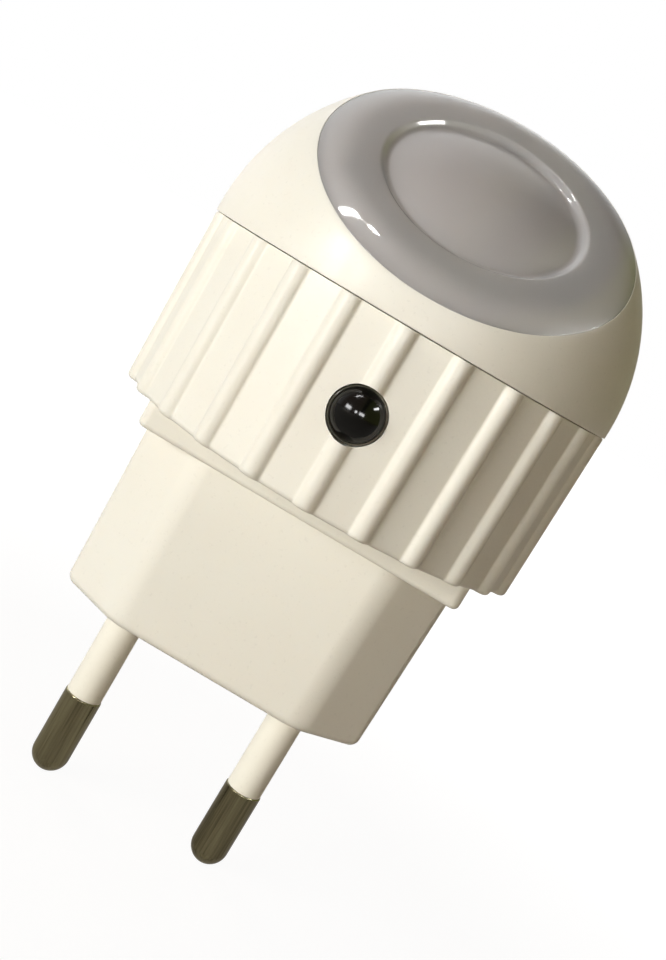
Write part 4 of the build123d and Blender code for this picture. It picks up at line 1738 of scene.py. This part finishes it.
@dataclass
class Studio:
    """The floor, the lamps and the surroundings, with sizes in metres."""

    floor_level: float = -0.01902
    floor_size: float = 6.0
    floor_glow: float = 1.22
    floor_share: float = 0.77
    mirror_share: float = 0.35
    floor_tones: tuple[Triple, Triple] = ((0.58, 0.53, 0.455), (0.55, 0.5, 0.43))
    fill_right: Triple = (0.076, 0.05, 0.029)
    fill_left: Triple = (0.05, 0.05, 0.05)
    room_left: Triple = (0.3, 0.21, 0.165)
    room_right: Triple = (0.3, 0.32, 0.1)
    room_gap: Triple = (0.01, 0.01, 0.008)
    cloud_scale: float = 30.0
    far_range: Point = (0.05, 0.3)
    mirror_low: float = 0.04
    mirror_range: Point = (-0.2, 0.15)
    fill_range: Point = (-0.6, 0.7)
    behind_way: Triple = (-0.6, 0.8, 0.0)
    behind_range: Point = (0.3, 0.75)
    front_range: Point = (-0.15, 0.3)
    gap_place: float = 0.2
    gap_range: Point = (0.05, 0.18)

    def build(self) -> None:
        """Sets up floor, lamps and surroundings."""
        self.build_floor()
        for lamp in LAMPS:
            lamp.build()
        self.build_world()

    def build_floor(self) -> None:
        """A plain pale floor that keeps a soft shadow."""
        clear_selection()
        bpy.ops.mesh.primitive_plane_add(size=self.floor_size, location=(0, 0, self.floor_level))
        floor = named("floor")
        bpy.ops.object.transform_apply(location=True, rotation=False, scale=False)
        material = bpy.data.materials.new("Pale floor")
        material.use_nodes = True
        wire = Nodes(material.node_tree)
        where = wire.add("ShaderNodeTexCoord").outputs["Object"]
        cloud = wire.spread(wire.noise(where, self.cloud_scale), 0.0, 1.0)
        paint = wire.fill(wire.add("ShaderNodeBsdfDiffuse"), Color=wire.blend(cloud, *self.floor_tones))
        glow = wire.fill(wire.add("ShaderNodeEmission"), Strength=self.floor_glow)
        far = wire.spread(wire.measure("LENGTH", where), self.floor_share, 1.0, *self.far_range)
        path = wire.add("ShaderNodeLightPath").outputs
        depth = wire.spread(
            wire.along(where, "Y"), self.mirror_low, self.mirror_share, *self.mirror_range
        )
        mirrored = wire.times(path["Is Glossy Ray"], depth)
        seen = wire.larger(path["Is Camera Ray"], mirrored, path["Is Transmission Ray"])
        mix = wire.add("ShaderNodeMixShader")
        for index, source in enumerate((wire.times(seen, far), paint.outputs[0], glow.outputs[0])):
            wire.feed(mix.inputs[index], source)
        wire.fill(wire.add("ShaderNodeOutputMaterial"), Surface=mix.outputs[0])
        floor.data.materials.append(material)

    def build_world(self) -> None:
        """White to the camera, dim light for the object, and a room with a dark gap for it to mirror."""
        world = bpy.data.worlds.new("studio")
        bpy.context.scene.world = world
        world.use_nodes = True
        wire = Nodes(world.node_tree)
        way = wire.add("ShaderNodeTexCoord").outputs["Generated"]
        across = wire.along(way, "X")
        side = wire.spread(across, 1.0, 0.0, *self.fill_range)
        fill = wire.blend(side, self.fill_right, self.fill_left)
        behind = wire.measure("DOT_PRODUCT", way, self.behind_way)
        behind = wire.spread(behind, 0.0, 1.0, *self.behind_range)
        side = wire.spread(across, 0.0, 1.0, *self.front_range)
        front = wire.blend(side, self.room_left, self.room_right)
        gap = wire.math("ABSOLUTE", wire.math("SUBTRACT", across, self.gap_place))
        front = wire.blend(wire.spread(gap, 1.0, 0.0, *self.gap_range), front, self.room_gap)
        room = wire.blend(behind, front, WHITE)
        path = wire.add("ShaderNodeLightPath").outputs
        mirror = wire.larger(path["Is Glossy Ray"], path["Is Transmission Ray"])
        colour = wire.blend(path["Is Camera Ray"], wire.blend(mirror, fill, room), WHITE)
        back = wire.fill(wire.add("ShaderNodeBackground"), Color=colour, Strength=1.0)
        wire.fill(wire.add("ShaderNodeOutputWorld"), Surface=back.outputs[0])


def slots_of(record: dict) -> dict[str, str]:
    """The record's material slot of each node."""
    return {part["node"]: part["material_slot"] for part in record["subparts"]}


def main() -> None:
    """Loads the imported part, builds every sub-assembly round it and sets the studio."""
    logging.basicConfig(level=logging.INFO, format="%(name)s: %(message)s")
    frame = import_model()
    bpy.context.scene.view_settings.view_transform = "Standard"
    Viewpoint().build()
    paintbox = Paintbox(slots_of(frame["record"]))
    replaced: set[str] = set()
    for made in (PlugBlock(paintbox), Pins(paintbox), Barrel(paintbox), Sensor(paintbox), Head(paintbox)):
        made.build()
        replaced |= made.replaced
        LOG.info("%s: %d pieces", type(made).__name__, len(made.replaced))
    paintbox.dress_nodes(frame["nodes"], replaced)
    Studio().build()


if __name__ == "__main__":
    main()
